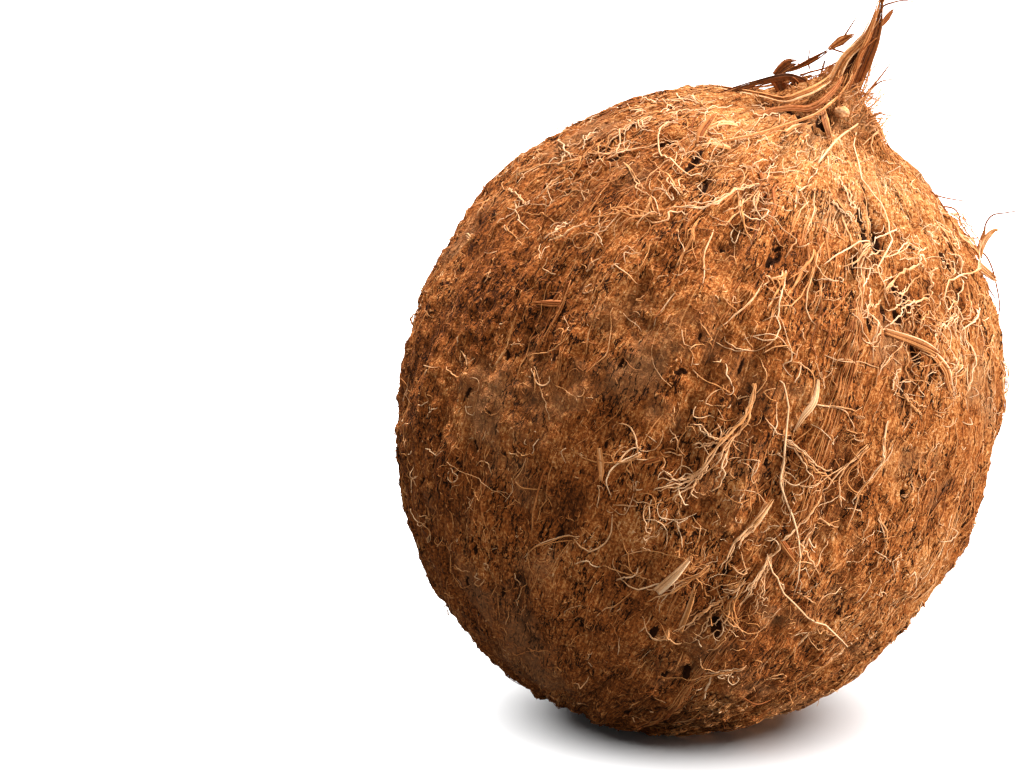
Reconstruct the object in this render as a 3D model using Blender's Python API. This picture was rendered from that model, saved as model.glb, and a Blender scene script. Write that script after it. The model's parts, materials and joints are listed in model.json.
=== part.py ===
"""A dehusked mature coconut with its stem tuft, resting on a small flat spot.

The nut and the husk fibre left on it grew as one piece, so the model is one closed
solid. It is shaped in the nut's own frame, with the axis along +Z and the stem end up,
then leaned over and cut flat where it rests. The origin is the middle of that flat.
Metres, +Z up. Bearings are degrees round the axis, from the front (-Y) towards +X.
"""
import math

import bmesh
import bpy
from mathutils import Matrix, Vector

# The nut, measured from the middle of its girth.
GIRTH_RADIUS = 0.056        # across the widest girth
BLOSSOM_RADIUS = 0.063      # down to the blossom end
STEM_RADIUS = 0.0602        # up to the shoulder round the stem
NECK_RISE = 0.0068          # height of the fibre neck above that shoulder
NECK_SPREAD = 7.8           # degrees from the axis over which the neck falls away

# The three seams that run from end to end, and the faces between them.
SEAMS = 3
SEAM_BEARING = 16.0         # bearing of the first seam
FACE_RISE = 0.0005          # how far the seams stand above a true circle, and the faces below
SEAM_RISE = 0.0008          # height of the narrow fibre ridge on each seam
SEAM_SPREAD = 5.0           # degrees either side of the seam over which the ridge falls away

# How it rests.
LEAN = 22.0                 # degrees that the stem end leans towards +X
REST_DEPTH = 0.0015         # depth of nut that the flat spot takes away

# The tuft: flat bundles of fused fibre, rooted in the neck.
STRAP_ROOT_DEPTH = 0.004    # how far each strap's root is buried below the neck's top
BLADE_LENGTH = 0.021        # height of the tallest blade above the neck's top
BLADE_WIDTH = 0.0066
BLADE_THICKNESS = 0.0026
SIDE_BLADE_LENGTH = 0.0125
SIDE_BLADE_WIDTH = 0.0036
SIDE_BLADE_THICKNESS = 0.0018
CURL_HEIGHT = 0.0075        # height of the curled flake above the neck's top
CURL_WIDTH = 0.0040
CURL_THICKNESS = 0.0014
ARCH_REACH = 0.0200         # distance from the axis to where the arched strap's end lies
ARCH_RISE = 0.0042          # height of the arch above the nut's surface
ARCH_WIDTH = 0.0046
ARCH_THICKNESS = 0.0016
LAID_COUNT = 4              # flat husk straps left lying down the back of the shoulder
LAID_FIRST_BEARING = 130.0
LAID_SPACING = 35.0         # degrees from one laid strap to the next
LAID_REACH = 0.0170
LAID_RISE = 0.0012
LAID_WIDTH = 0.0052
LAID_THICKNESS = 0.0018

# Mesh resolution.
GIRTH_STEPS = 60
END_STEPS = 40
STRAP_STEPS = 9
STRAP_SIDES = 8

NECK_TOP = STEM_RADIUS + NECK_RISE


def bell(distance, spread):
    """A smooth hump that is 1 at no distance and fades away over the spread."""
    return math.exp(-(distance / spread) ** 2)


def nut_radius(polar, bearing):
    """Distance from the nut's middle to its skin.

    polar is the angle from the stem end and bearing the angle round the axis, in degrees.
    """
    rise = math.cos(math.radians(polar)) ** 2
    end_radius = STEM_RADIUS if polar < 90.0 else BLOSSOM_RADIUS
    radius = GIRTH_RADIUS + (end_radius - GIRTH_RADIUS) * rise
    radius += NECK_RISE * bell(polar, NECK_SPREAD)

    spacing = 360.0 / SEAMS
    off_seam = (bearing - SEAM_BEARING + spacing / 2.0) % spacing - spacing / 2.0
    radius += FACE_RISE * math.cos(math.radians(SEAMS * off_seam)) * (1.0 - rise)
    radius += SEAM_RISE * bell(off_seam, SEAM_SPREAD) * math.sin(math.radians(polar))
    return radius


def surface_height(reach, bearing):
    """Height of the stem end's skin at a distance from the axis, by halving the angle."""
    low, high = 0.0, 80.0
    for _ in range(40):
        polar = (low + high) / 2.0
        radius = nut_radius(polar, bearing)
        if radius * math.sin(math.radians(polar)) < reach:
            low = polar
        else:
            high = polar
    return radius * math.cos(math.radians(polar))


def build_nut():
    """The nut's closed skin: a sphere whose points are moved out to the nut's radius."""
    bm = bmesh.new()
    bmesh.ops.create_uvsphere(bm, u_segments=GIRTH_STEPS, v_segments=END_STEPS, radius=1.0)
    for vert in bm.verts:
        polar = math.degrees(vert.co.angle(Vector((0.0, 0.0, 1.0))))
        bearing = math.degrees(math.atan2(vert.co.x, -vert.co.y))
        vert.co *= nut_radius(polar, bearing)
    return bm


def smooth_path(points, steps):
    """Points and directions along a smooth curve through a few given points."""
    path = []
    spans = len(points) - 1
    for step in range(steps + 1):
        along = spans * step / steps
        span = min(int(along), spans - 1)
        t = along - span
        before, start = points[max(span - 1, 0)], points[span]
        end, after = points[span + 1], points[min(span + 2, spans)]
        leave, arrive = (end - before) / 2.0, (after - start) / 2.0
        place = (start * (2 * t**3 - 3 * t**2 + 1) + leave * (t**3 - 2 * t**2 + t)
                 + end * (3 * t**2 - 2 * t**3) + arrive * (t**3 - t**2))
        slope = ((start - end) * (6 * t**2 - 6 * t) + leave * (3 * t**2 - 4 * t + 1)
                 + arrive * (3 * t**2 - 2 * t))
        path.append((place, slope.normalized()))
    return path


def build_strap(points, width, thickness, across, tip=0.2):
    """A flat bundle of fibre bent along a curve, which narrows to its tip's share of width.

    It starts as an upright rod one unit long, whose rings are then laid along the curve.
    """
    bm = bmesh.new()
    bmesh.ops.create_cone(
        bm, cap_ends=True, segments=STRAP_SIDES, radius1=0.5, radius2=0.5, depth=1.0,
        matrix=Matrix.Translation((0.0, 0.0, 0.5)))
    for step in range(1, STRAP_STEPS):
        bmesh.ops.bisect_plane(
            bm, geom=bm.verts[:] + bm.edges[:] + bm.faces[:], dist=1e-6,
            plane_co=(0.0, 0.0, step / STRAP_STEPS), plane_no=(0.0, 0.0, 1.0))
    path = smooth_path(points, STRAP_STEPS)
    for vert in bm.verts:
        place, along = path[round(vert.co.z * STRAP_STEPS)]
        side = (across - along * across.dot(along)).normalized()
        out = along.cross(side)
        taper = 1.0 - (1.0 - tip) * vert.co.z**2
        vert.co = (place + side * vert.co.x * width * taper
                   + out * vert.co.y * thickness * taper)
    bmesh.ops.recalc_face_normals(bm, faces=bm.faces)
    return bm


def bearing_direction(bearing):
    """The level direction that points out from the axis at a bearing."""
    angle = math.radians(bearing)
    return Vector((math.sin(angle), -math.cos(angle), 0.0))


def above_neck(reach, bearing, height):
    """A point at a distance from the axis, and a height above the neck's top."""
    return bearing_direction(bearing) * reach + Vector((0.0, 0.0, NECK_TOP + height))


def on_skin(reach, bearing, height):
    """A point at a distance from the axis, and a height above the nut's skin there."""
    level = surface_height(reach, bearing)
    return bearing_direction(bearing) * reach + Vector((0.0, 0.0, level + height))


def upright_blade():
    """The tall pointed blade, which stands close to the axis."""
    points = [
        above_neck(0.0034, 40.0, -STRAP_ROOT_DEPTH),
        above_neck(0.0022, 62.0, 0.22 * BLADE_LENGTH),
        above_neck(0.0014, 80.0, 0.60 * BLADE_LENGTH),
        above_neck(0.0030, 88.0, BLADE_LENGTH),
    ]
    return build_strap(points, BLADE_WIDTH, BLADE_THICKNESS, Vector((1.0, 0.3, 0.0)))


def side_blade():
    """A shorter blade beside the tall one, on its uphill side."""
    points = [
        above_neck(0.0030, 285.0, -STRAP_ROOT_DEPTH),
        above_neck(0.0030, 280.0, 0.35 * SIDE_BLADE_LENGTH),
        above_neck(0.0018, 270.0, SIDE_BLADE_LENGTH),
    ]
    return build_strap(points, SIDE_BLADE_WIDTH, SIDE_BLADE_THICKNESS, Vector((1.0, -0.4, 0.0)))


def curled_flake():
    """A dry flake that stands up beside the neck and curls back over it."""
    points = [
        above_neck(0.0036, 268.0, -STRAP_ROOT_DEPTH),
        above_neck(0.0066, 272.0, 0.30 * CURL_HEIGHT),
        above_neck(0.0098, 276.0, CURL_HEIGHT),
        above_neck(0.0072, 280.0, 1.35 * CURL_HEIGHT),
    ]
    return build_strap(points, CURL_WIDTH, CURL_THICKNESS, Vector((0.1, 1.0, 0.0)), tip=0.5)


def laid_strap(bearing, reach, rise, width, thickness):
    """A strap rooted in the neck that lies down over the shoulder, with its end on the skin."""
    points = [
        above_neck(0.0012, bearing, -STRAP_ROOT_DEPTH),
        on_skin(0.35 * reach, bearing, rise),
        on_skin(0.70 * reach, bearing, 0.8 * rise),
        on_skin(reach, bearing, -0.5 * thickness),
    ]
    across = bearing_direction(bearing + 90.0)
    return build_strap(points, width, thickness, across, tip=0.4)


def husk_material():
    """Dry brown coir."""
    material = bpy.data.materials.new("coir_husk")
    material.use_nodes = True
    shader = material.node_tree.nodes["Principled BSDF"]
    shader.inputs["Base Color"].default_value = (0.30, 0.125, 0.042, 1.0)
    shader.inputs["Roughness"].default_value = 0.85
    shader.inputs["Metallic"].default_value = 0.0
    return material


def add_object(name, bm, placing):
    """Turn a bmesh, placed by a matrix, into an object in the scene."""
    bmesh.ops.transform(bm, matrix=placing, verts=bm.verts)
    mesh = bpy.data.meshes.new(name)
    bm.to_mesh(mesh)
    bm.free()
    thing = bpy.data.objects.new(name, mesh)
    bpy.context.scene.collection.objects.link(thing)
    return thing


def rest_flat(bm):
    """Cut the leaned nut level near its lowest point and return the middle of the cut."""
    level = min(vert.co.z for vert in bm.verts) + REST_DEPTH
    cut = bmesh.ops.bisect_plane(
        bm, geom=bm.verts[:] + bm.edges[:] + bm.faces[:], dist=1e-6,
        plane_co=(0.0, 0.0, level), plane_no=(0.0, 0.0, -1.0), clear_outer=True)
    edges = [item for item in cut["geom_cut"] if isinstance(item, bmesh.types.BMEdge)]
    floor = bmesh.ops.holes_fill(bm, edges=edges)["faces"][0]
    return floor.calc_center_median()


def main():
    """Build the coconut."""
    for thing in list(bpy.data.objects):
        bpy.data.objects.remove(thing)

    lean = Matrix.Rotation(math.radians(LEAN), 4, "Y")
    nut = build_nut()
    bmesh.ops.transform(nut, matrix=lean, verts=nut.verts)
    middle = rest_flat(nut)
    coconut = add_object("coconut", nut, Matrix.Translation(-middle))
    coconut.data.materials.append(husk_material())

    straps = {
        "arched_strap": laid_strap(270.0, ARCH_REACH, ARCH_RISE, ARCH_WIDTH, ARCH_THICKNESS),
        "curled_flake": curled_flake(),
        "side_blade": side_blade(),
        "upright_blade": upright_blade(),
    }
    for count in range(LAID_COUNT):
        bearing = LAID_FIRST_BEARING + count * LAID_SPACING
        straps[f"laid_strap_{count + 1}"] = laid_strap(
            bearing, LAID_REACH, LAID_RISE, LAID_WIDTH, LAID_THICKNESS)

    for name, strap in straps.items():
        guide = add_object(name, strap, Matrix.Translation(-middle) @ lean)
        guide.hide_render = True
        guide.display_type = "WIRE"
        join = coconut.modifiers.new(f"join_{name}", "BOOLEAN")
        join.operation = "UNION"
        join.solver = "EXACT"
        join.object = guide

    coconut.data.shade_smooth()


if __name__ == "__main__":
    main()
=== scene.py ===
"""A whole dehusked coconut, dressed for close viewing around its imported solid.

The nut is built in its own frame, with the axis along +Z and the stem end up, and then
leaned over to where it rests. A place on it is a way, which is a unit vector from the nut's
middle. Bearings are degrees round the axis, from the front (-Y) towards +X, and polar angles
are degrees from the stem end. Metres, +Z up.
"""

import json
import logging
import math
from dataclasses import dataclass, field
from enum import Enum

import bmesh
import bpy
import numpy as np
from mathutils import Matrix, Vector

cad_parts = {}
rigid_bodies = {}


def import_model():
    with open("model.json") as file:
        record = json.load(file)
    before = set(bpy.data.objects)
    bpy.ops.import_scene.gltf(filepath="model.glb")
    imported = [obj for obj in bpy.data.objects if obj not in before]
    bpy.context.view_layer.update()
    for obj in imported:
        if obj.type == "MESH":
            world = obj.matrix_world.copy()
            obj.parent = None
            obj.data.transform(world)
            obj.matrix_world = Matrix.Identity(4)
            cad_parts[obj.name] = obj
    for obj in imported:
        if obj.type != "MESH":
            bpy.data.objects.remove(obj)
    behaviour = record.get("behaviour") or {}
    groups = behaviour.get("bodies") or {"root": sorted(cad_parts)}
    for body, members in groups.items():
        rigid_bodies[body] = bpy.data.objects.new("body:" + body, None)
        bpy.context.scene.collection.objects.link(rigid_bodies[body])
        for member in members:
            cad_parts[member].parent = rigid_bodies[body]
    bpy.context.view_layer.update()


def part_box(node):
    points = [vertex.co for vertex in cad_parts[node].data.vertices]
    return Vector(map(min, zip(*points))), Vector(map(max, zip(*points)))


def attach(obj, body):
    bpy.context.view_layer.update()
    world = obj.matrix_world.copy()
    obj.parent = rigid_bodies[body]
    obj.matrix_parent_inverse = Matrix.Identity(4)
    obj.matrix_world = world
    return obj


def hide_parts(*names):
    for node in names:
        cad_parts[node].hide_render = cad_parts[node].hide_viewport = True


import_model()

NODE = "coconut"
MM = 0.001
BAKE_MAP = "OFBake"
SEAM_GAP = 120.0
LOWEST_SKIN = 0.15 * MM
LOWEST_FIBRE = 0.05 * MM
LOWEST_TUFT = 0.2 * MM
UNDERSIDE = -0.66
BLOSSOM_END = -0.75
STREWN_PITS = 150
PALE_STRAY = 0.84
CAMERA_RAY = "Is Camera Ray"
log = logging.getLogger("coconut")


def unit(rows: np.ndarray) -> np.ndarray:
    """Scale each vector in the last axis to length 1."""
    return rows / np.maximum(np.linalg.norm(rows, axis=-1, keepdims=True), 1e-12)


def dot(first: np.ndarray, second: np.ndarray) -> np.ndarray:
    """Dot products along the last axis, which stays as an axis of one."""
    return (first * second).sum(axis=-1, keepdims=True)


def ease(values: np.ndarray, low: float, high: float) -> np.ndarray:
    """Rise smoothly from 0 at low to 1 at high."""
    share = np.clip((values - low) / (high - low), 0.0, 1.0)
    return share * share * (3.0 - 2.0 * share)


@dataclass(frozen=True)
class Hills:
    """Smooth random hills and hollows in space, the same on each run for one seed."""

    seed: int

    def __call__(self, places: np.ndarray) -> np.ndarray:
        """Read the hills.

        Args:
            places: Points of any leading shape, in wavelengths.

        Returns:
            Heights between about -1 and 1, in the same leading shape.
        """
        rng = np.random.default_rng(self.seed)
        order = np.tile(rng.permutation(256), 3)
        slopes = unit(rng.normal(size=(256, 3)))
        flat = places.reshape(-1, 3)
        corner = np.floor(flat).astype(np.int64)
        inside = flat - corner
        eased = inside**3 * (inside * (inside * 6.0 - 15.0) + 10.0)
        total = np.zeros(len(flat))
        for step in np.ndindex(2, 2, 2):
            at = (corner + step) & 255
            pick = order[order[order[at[:, 0]] + at[:, 1]] + at[:, 2]]
            rise = ((inside - step) * slopes[pick]).sum(axis=1)
            total += rise * np.where(np.array(step) == 1, eased, 1.0 - eased).prod(axis=1)
        return (1.6 * total).reshape(places.shape[:-1])


@dataclass(frozen=True)
class Pit:
    """A torn hole in the coat. Sizes are millimetres, and turn is degrees off the grain."""

    polar: float
    bearing: float
    length: float
    width: float
    depth: float
    turn: float = 0.0


@dataclass
class NutForm:
    """The nut's outline, its relief and its place, all from the solid's own sizes."""

    girth: float
    corner: tuple[float, float, float]
    blossom: float = 0.063
    stem: float = 0.0602
    neck_rise: float = 0.0068
    neck_spread: float = 7.8
    seam_bearing: float = 16.0
    face_rise: float = 0.0005
    seam_rise: float = 0.0008
    seam_spread: float = 5.0
    lean: float = 22.0
    rest_depth: float = 0.0015
    pits: tuple[Pit, ...] = ()
    middle: np.ndarray = field(default_factory=lambda: np.zeros(3))

    def __post_init__(self) -> None:
        """Find the nut's middle from the solid's lowest corner and the leaned outline."""
        polar, bearing = np.meshgrid(np.arange(0.5, 180.0, 1.0), np.arange(0.0, 360.0, 2.0))
        outline = self.leaned(self.skin(self.ways(polar.ravel(), bearing.ravel())))
        low = outline.min(axis=0)
        self.middle = np.array(self.corner) - low
        self.middle[2] -= self.rest_depth

    def leaned(self, points: np.ndarray) -> np.ndarray:
        """Turn points or directions from the nut's frame to the world's."""
        return points @ np.array(Matrix.Rotation(math.radians(self.lean), 3, "Y")).T

    def to_world(self, points: np.ndarray) -> np.ndarray:
        """Lean points over and move them to where the nut rests."""
        return self.leaned(points) + self.middle

    @staticmethod
    def ways(polar: np.ndarray, bearing: np.ndarray) -> np.ndarray:
        """Unit vectors for angles in degrees."""
        polar, bearing = np.radians(polar), np.radians(bearing)
        return np.stack([np.sin(polar) * np.sin(bearing), -np.sin(polar) * np.cos(bearing),
                         np.cos(polar)], axis=-1)

    @staticmethod
    def polar(ways: np.ndarray) -> np.ndarray:
        """Degrees from the stem end."""
        return np.degrees(np.arccos(np.clip(ways[..., 2], -1.0, 1.0)))

    @staticmethod
    def bearing(ways: np.ndarray) -> np.ndarray:
        """Degrees round the axis."""
        return np.degrees(np.arctan2(ways[..., 0], -ways[..., 1]))

    def off_seam(self, ways: np.ndarray) -> np.ndarray:
        """Degrees round the axis to the nearest of the three seams."""
        half_gap = SEAM_GAP / 2.0
        return (self.bearing(ways) - self.seam_bearing + half_gap) % SEAM_GAP - half_gap

    def reach(self, ways: np.ndarray) -> np.ndarray:
        """Distance from the nut's middle to its plain skin."""
        polar, off = self.polar(ways), self.off_seam(ways)
        rise = ways[..., 2] ** 2
        end = np.where(ways[..., 2] > 0.0, self.stem, self.blossom)
        reach = self.girth + (end - self.girth) * rise
        reach = reach + self.neck_rise * np.exp(-(polar / self.neck_spread) ** 2)
        reach = reach + self.face_rise * np.cos(np.radians(3.0 * off)) * (1.0 - rise)
        ridge = np.exp(-(off / self.seam_spread) ** 2) * np.sqrt(np.maximum(1.0 - rise, 0.0))
        return reach + self.seam_rise * ridge

    def skin(self, ways: np.ndarray) -> np.ndarray:
        """Points on the plain skin, in the nut's frame."""
        return ways * self.reach(ways)[..., None]

    @staticmethod
    def grain(ways: np.ndarray) -> tuple[np.ndarray, np.ndarray]:
        """The directions down the grain, towards the blossom end, and across it."""
        axis = np.array([0.0, 0.0, 1.0])
        down = unit(ways * ways[..., 2:] - axis + 1e-6)
        return down, unit(np.cross(axis, ways) + 1e-9)

    def normals(self, ways: np.ndarray) -> np.ndarray:
        """Directions straight out of the plain skin."""
        down, across = self.grain(ways)
        reach = 0.01
        run = self.skin(unit(ways + reach * down)) - self.skin(unit(ways - reach * down))
        span = self.skin(unit(ways + reach * across)) - self.skin(unit(ways - reach * across))
        return unit(np.cross(run, span))

    def comb(self, ways: np.ndarray) -> np.ndarray:
        """Coordinates that run with the grain: a circle round the axis, and the polar angle."""
        ring = unit(ways[..., :2])
        return np.concatenate([ring, np.radians(self.polar(ways))[..., None]], axis=-1)

    def relief(self, ways: np.ndarray) -> np.ndarray:
        """Height of the torn coat above the plain skin, without its pits."""
        comb = self.comb(ways)
        calm = 0.25 + 0.75 * ease(np.sqrt(1.0 - ways[..., 2] ** 2), 0.05, 0.5)
        height = 0.50 * Hills(11)(ways * 5.0)
        height += 0.26 * Hills(12)(ways * 17.0)
        height += 0.30 * calm * Hills(13)(comb * (16.0, 16.0, 5.0))
        height += 0.24 * calm * Hills(14)(comb * (38.0, 38.0, 11.0))
        height += 0.17 * Hills(15)(ways * 46.0)
        plates = Hills(16)(comb * (10.0, 10.0, 3.4)) + 0.30 * Hills(17)(ways * 24.0)
        steps = sum(ease(plates, level, level + 0.05) for level in (-0.25, 0.06, 0.36))
        crease = np.exp(-((Hills(18)(comb * (20.0, 20.0, 6.0)) / 0.07) ** 2))
        torn = calm * ease(Hills(19)(ways * 4.0), -0.25, 0.25)
        height += 0.45 * steps - 0.45 * crease * torn - 0.52
        return height * MM

    def bleaching_and_painted_light(self, ways: np.ndarray) -> np.ndarray:
        """How much paler the coat is at each way, as a shift in tone: partly bleaching, partly
        painted light and shade.
        """
        polar, bearing = self.polar(ways), np.radians(self.bearing(ways))
        # Paler round the stem end: partly real bleaching, partly painted light falling from above.
        shift = 0.17 * np.exp(-((polar / 42.0) ** 2)) - 0.03
        # Painted light and shade: paler on the side towards the side lamp, darker on the far side.
        shift += 0.05 * np.cos(bearing - 1.3) * np.sqrt(1.0 - ways[..., 2] ** 2)
        # Random paler and darker patches.
        return shift + 0.05 * Hills(22)(ways * 3.0)

    def hollow(self, ways: np.ndarray) -> tuple[np.ndarray, np.ndarray]:
        """How deep the pits are at each way, in metres, and how much painted shade darkens them,
        from 0 to 1.
        """
        depth, dark = np.zeros(ways.shape[:-1]), np.zeros(ways.shape[:-1])
        wander = 0.35 * Hills(21)(ways * 30.0)
        for pit in self.pits:
            at = self.ways(np.array([pit.polar]), np.array([pit.bearing]))
            down, across = self.grain(at)
            off = (ways - at[0]) * self.girth / MM
            turn = math.radians(pit.turn)
            run, span = (off * down[0]).sum(axis=-1), (off * across[0]).sum(axis=-1)
            along = run * math.cos(turn) + span * math.sin(turn)
            aside = span * math.cos(turn) - run * math.sin(turn)
            far = (along / (0.5 * pit.length)) ** 2 + (aside / (0.5 * pit.width)) ** 2
            share = np.exp(-(far * (1.0 + wander)) ** 1.5) * (dot(ways, at[0])[..., 0] > 0.0)
            depth = np.maximum(depth, pit.depth * MM * share)
            # Painted shade: deeper pits are darker.
            dark = np.maximum(dark, share * min(1.0, 0.45 + 0.4 * pit.depth))
        return depth, dark

    def place(self, ways: np.ndarray, height: np.ndarray | float) -> np.ndarray:
        """World points at a height above the torn coat, never below the resting level."""
        lift = (self.relief(ways) + height)[..., None]
        points = self.to_world(self.skin(ways) + self.normals(ways) * lift)
        points[..., 2] = np.maximum(points[..., 2], LOWEST_SKIN)
        return points


def torn_pits() -> tuple[Pit, ...]:
    """The big torn holes at their places on the front, and small ones strewn all over."""
    placed = (
        Pit(31.3, 18.6, 4.4, 1.5, 2.6, 10), Pit(34.4, 19.8, 2.6, 1.2, 1.6, 10),
        Pit(38, 21.4, 5.6, 2.2, 3, 14), Pit(39.5, 15.5, 3.6, 0.9, 1.8, 4),
        Pit(35.5, 14, 3.4, 0.8, 1.4, 10), Pit(27, 17, 4.6, 0.8, 1.2, 14),
        Pit(36, 32, 1.3, 0.7, 1.1, 20), Pit(37.5, 33.5, 1.5, 0.7, 1.1, 40),
        Pit(33, 37.5, 1.2, 0.8, 1.1), Pit(43, 17.5, 1.6, 0.9, 1.1, 10),
        Pit(45, 13.5, 2.4, 1, 1.2, 6), Pit(38.5, 51, 4.6, 2.2, 2, 30),
        Pit(40.5, 57, 4.4, 1.2, 1.4, 24), Pit(33, 64.5, 4.2, 1, 1.2, 6), Pit(28, 37, 7, 0.7, 1, 3),
        Pit(34, 45.5, 9, 0.7, 1, 5), Pit(45, 60, 6, 0.8, 1.1, 4),
        Pit(47.2, 26.5, 2.4, 1.2, 1.4, 30), Pit(48.2, 29.2, 2.2, 1.1, 1.5, -20),
        Pit(50.7, 29.2, 2, 1.4, 1.6, 20), Pit(52.5, 27.3, 3.2, 1.5, 1.5, 24),
        Pit(55.5, 19, 3, 0.9, 1.2, 8), Pit(58, 33, 4, 1.2, 1.4, 24),
        Pit(61.5, 37, 3.4, 1.2, 1.3, -14), Pit(56.5, 41, 3.2, 1, 1.2, 34),
        Pit(64, 30.5, 3.6, 1, 1.2, 12), Pit(12.5, -28, 13, 1.2, 2.6, 80),
        Pit(10.5, -5, 4, 2.6, 2.4), Pit(38, -38, 6.5, 1.2, 1.7, 12), Pit(37, -52, 8, 0.8, 1.2, -8),
        Pit(42, -30, 5, 0.9, 1.3, 18), Pit(118, 12.8, 4.6, 1.7, 1.5, 30),
        Pit(114.5, 5.5, 3.6, 1.4, 1.2, 10), Pit(131, 14, 4.4, 1.4, 1.2, 20), Pit(124, 2, 4, 1.2, 1),
        Pit(35, 160, 8, 1.3, 1.8), Pit(62, 215, 6, 1.1, 1.5, 15), Pit(48, 268, 7, 1, 1.4, -10),
        Pit(80, 120, 5, 1.2, 1.4, 20),
    )
    rng = np.random.default_rng(5)
    strewn = []
    for _ in range(STREWN_PITS):
        polar = math.degrees(math.acos(rng.uniform(-0.95, 0.97)))
        strewn.append(Pit(polar, rng.uniform(-180.0, 180.0), rng.uniform(1.2, 4.5),
                          rng.uniform(0.5, 1.0), rng.uniform(0.5, 1.3), rng.normal(0.0, 22.0)))
    return placed + tuple(strewn)


class Socket(Enum):
    """The kinds of socket that a shader node group has."""

    NUMBER = "NodeSocketFloat"
    VECTOR = "NodeSocketVector"
    COLOUR = "NodeSocketColor"


class Recipe:
    """A node tree under construction, for a group or a material."""

    def __init__(self, tree: bpy.types.NodeTree) -> None:
        """Keep the tree that nodes are added to."""
        self.tree = tree

    def feed(self, node: bpy.types.Node, inputs: dict) -> bpy.types.Node:
        """Link or set a node's inputs, by name or by number, and return the node."""
        for name, value in inputs.items():
            if isinstance(value, bpy.types.NodeSocket):
                self.tree.links.new(value, node.inputs[name])
            else:
                node.inputs[name].default_value = value
        return node

    def add(self, kind: str, inputs: dict | None = None, **settings: object) -> bpy.types.Node:
        """Add a node.

        Args:
            kind: Blender's type name for the node, without the ShaderNode in front.
            inputs: Values or output sockets for its inputs, by name or by number.
            **settings: Properties to set on the node.

        Returns:
            The new node.
        """
        made = self.tree.nodes.new("ShaderNode" + kind)
        for name, value in settings.items():
            setattr(made, name, value)
        return self.feed(made, inputs or {})

    def maths(self, operation: str, *values: object) -> bpy.types.NodeSocket:
        """Add a Math node and return its result."""
        return self.add("Math", dict(enumerate(values)), operation=operation).outputs[0]

    def noise(self, at: bpy.types.NodeSocket, scale: float, detail: float = 2.0,
              roughness: float = 0.55) -> bpy.types.NodeSocket:
        """Add a noise texture and return its value."""
        inputs = {"Vector": at, "Scale": scale, "Detail": detail, "Roughness": roughness}
        return self.add("TexNoise", inputs).outputs["Fac"]

    def attribute(self, name: str, output: str = "Fac") -> bpy.types.NodeSocket:
        """Read one of the mesh's own attributes."""
        return self.add("Attribute", attribute_name=name).outputs[output]

    def given(self) -> bpy.types.NodeOutputs:
        """Add a group's first node and return what the group is given."""
        return self.tree.nodes.new("NodeGroupInput").outputs

    def give(self, results: dict) -> bpy.types.NodeTree:
        """Add a group's last node with its results, and return the finished group."""
        self.feed(self.tree.nodes.new("NodeGroupOutput"), results)
        return self.tree

    def mix(self, share: object, first: object, second: object) -> bpy.types.NodeSocket:
        """Add a colour Mix node and return its result. Its colour sockets are 6 and 7."""
        return self.add("Mix", {0: share, 6: first, 7: second}, data_type="RGBA").outputs[2]

    def span(self, value: bpy.types.NodeSocket, low: float, high: float,
             top: float = 1.0) -> bpy.types.NodeSocket:
        """Map the values from low to high onto 0 to top, and clamp the rest."""
        inputs = {"Value": value, "From Min": low, "From Max": high, "To Max": top}
        return self.add("MapRange", inputs).outputs["Result"]

    def ramp(self, value: bpy.types.NodeSocket,
             stops: list[tuple[float, tuple[float, float, float]]]) -> bpy.types.NodeSocket:
        """Add a colour ramp through the given stops and return its colour."""
        made = self.add("ValToRGB", {"Fac": value})
        marks = made.color_ramp.elements
        while len(marks) < len(stops):
            marks.new(0.5)
        for mark, (place, colour) in zip(marks, stops):
            mark.position = place
            mark.color = (*colour, 1.0)
        return made.outputs["Color"]


def new_group(name: str, inputs: dict[str, Socket], outputs: dict[str, Socket]) -> Recipe:
    """Start a shader node group with named sockets."""
    tree = bpy.data.node_groups.new(name, "ShaderNodeTree")
    for label, kind in inputs.items():
        tree.interface.new_socket(label, in_out="INPUT", socket_type=kind.value)
    for label, kind in outputs.items():
        tree.interface.new_socket(label, in_out="OUTPUT", socket_type=kind.value)
    return Recipe(tree)


@dataclass(frozen=True)
class CoirColours:
    """The colours of dry coir, from the darkest pith to the palest fibre. The pith colour also
    serves as the painted shade in hollows.
    """

    pith: tuple[float, float, float] = (0.020, 0.0055, 0.0015)
    dark: tuple[float, float, float] = (0.100, 0.027, 0.006)
    brown: tuple[float, float, float] = (0.310, 0.084, 0.016)
    tan: tuple[float, float, float] = (0.590, 0.250, 0.078)
    pale: tuple[float, float, float] = (0.860, 0.555, 0.315)
    grey: tuple[float, float, float] = (0.300, 0.138, 0.058)

    def group(self) -> bpy.types.NodeTree:
        """Build the group that colours every piece: a tone along the ramp, worn in patches, and
        darkened towards the pith colour as painted shade.
        """
        recipe = new_group(
            "coir_colour",
            {"Place": Socket.VECTOR, "Tone": Socket.NUMBER, "Speckle": Socket.NUMBER,
             "Patches": Socket.NUMBER, "HollowShade": Socket.NUMBER},
            {"Colour": Socket.COLOUR})
        given = recipe.given()
        place, patches = given["Place"], given["Patches"]
        fine = recipe.maths("SUBTRACT", recipe.noise(place, 1500.0, 3.0, 0.7), 0.5)
        tone = recipe.maths("MULTIPLY_ADD", fine, given["Speckle"], given["Tone"])
        broad = recipe.maths("SUBTRACT", recipe.noise(place, 75.0, 3.0, 0.6), 0.5)
        tone = recipe.maths("MULTIPLY_ADD", broad, patches, tone)
        colour = recipe.ramp(tone, [(0.0, self.pith), (0.25, self.dark), (0.5, self.brown),
                                    (0.74, self.tan), (0.96, self.pale)])
        worn = recipe.span(recipe.noise(place, 52.0, 4.0, 0.65), 0.54, 0.68)
        colour = recipe.mix(recipe.maths("MULTIPLY", worn, patches), colour, (*self.grey, 1.0))
        # Painted shade: darken towards the pith colour by the share given for the hollows.
        return recipe.give({"Colour": recipe.mix(given["HollowShade"], colour, (*self.pith, 1.0))})


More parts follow.
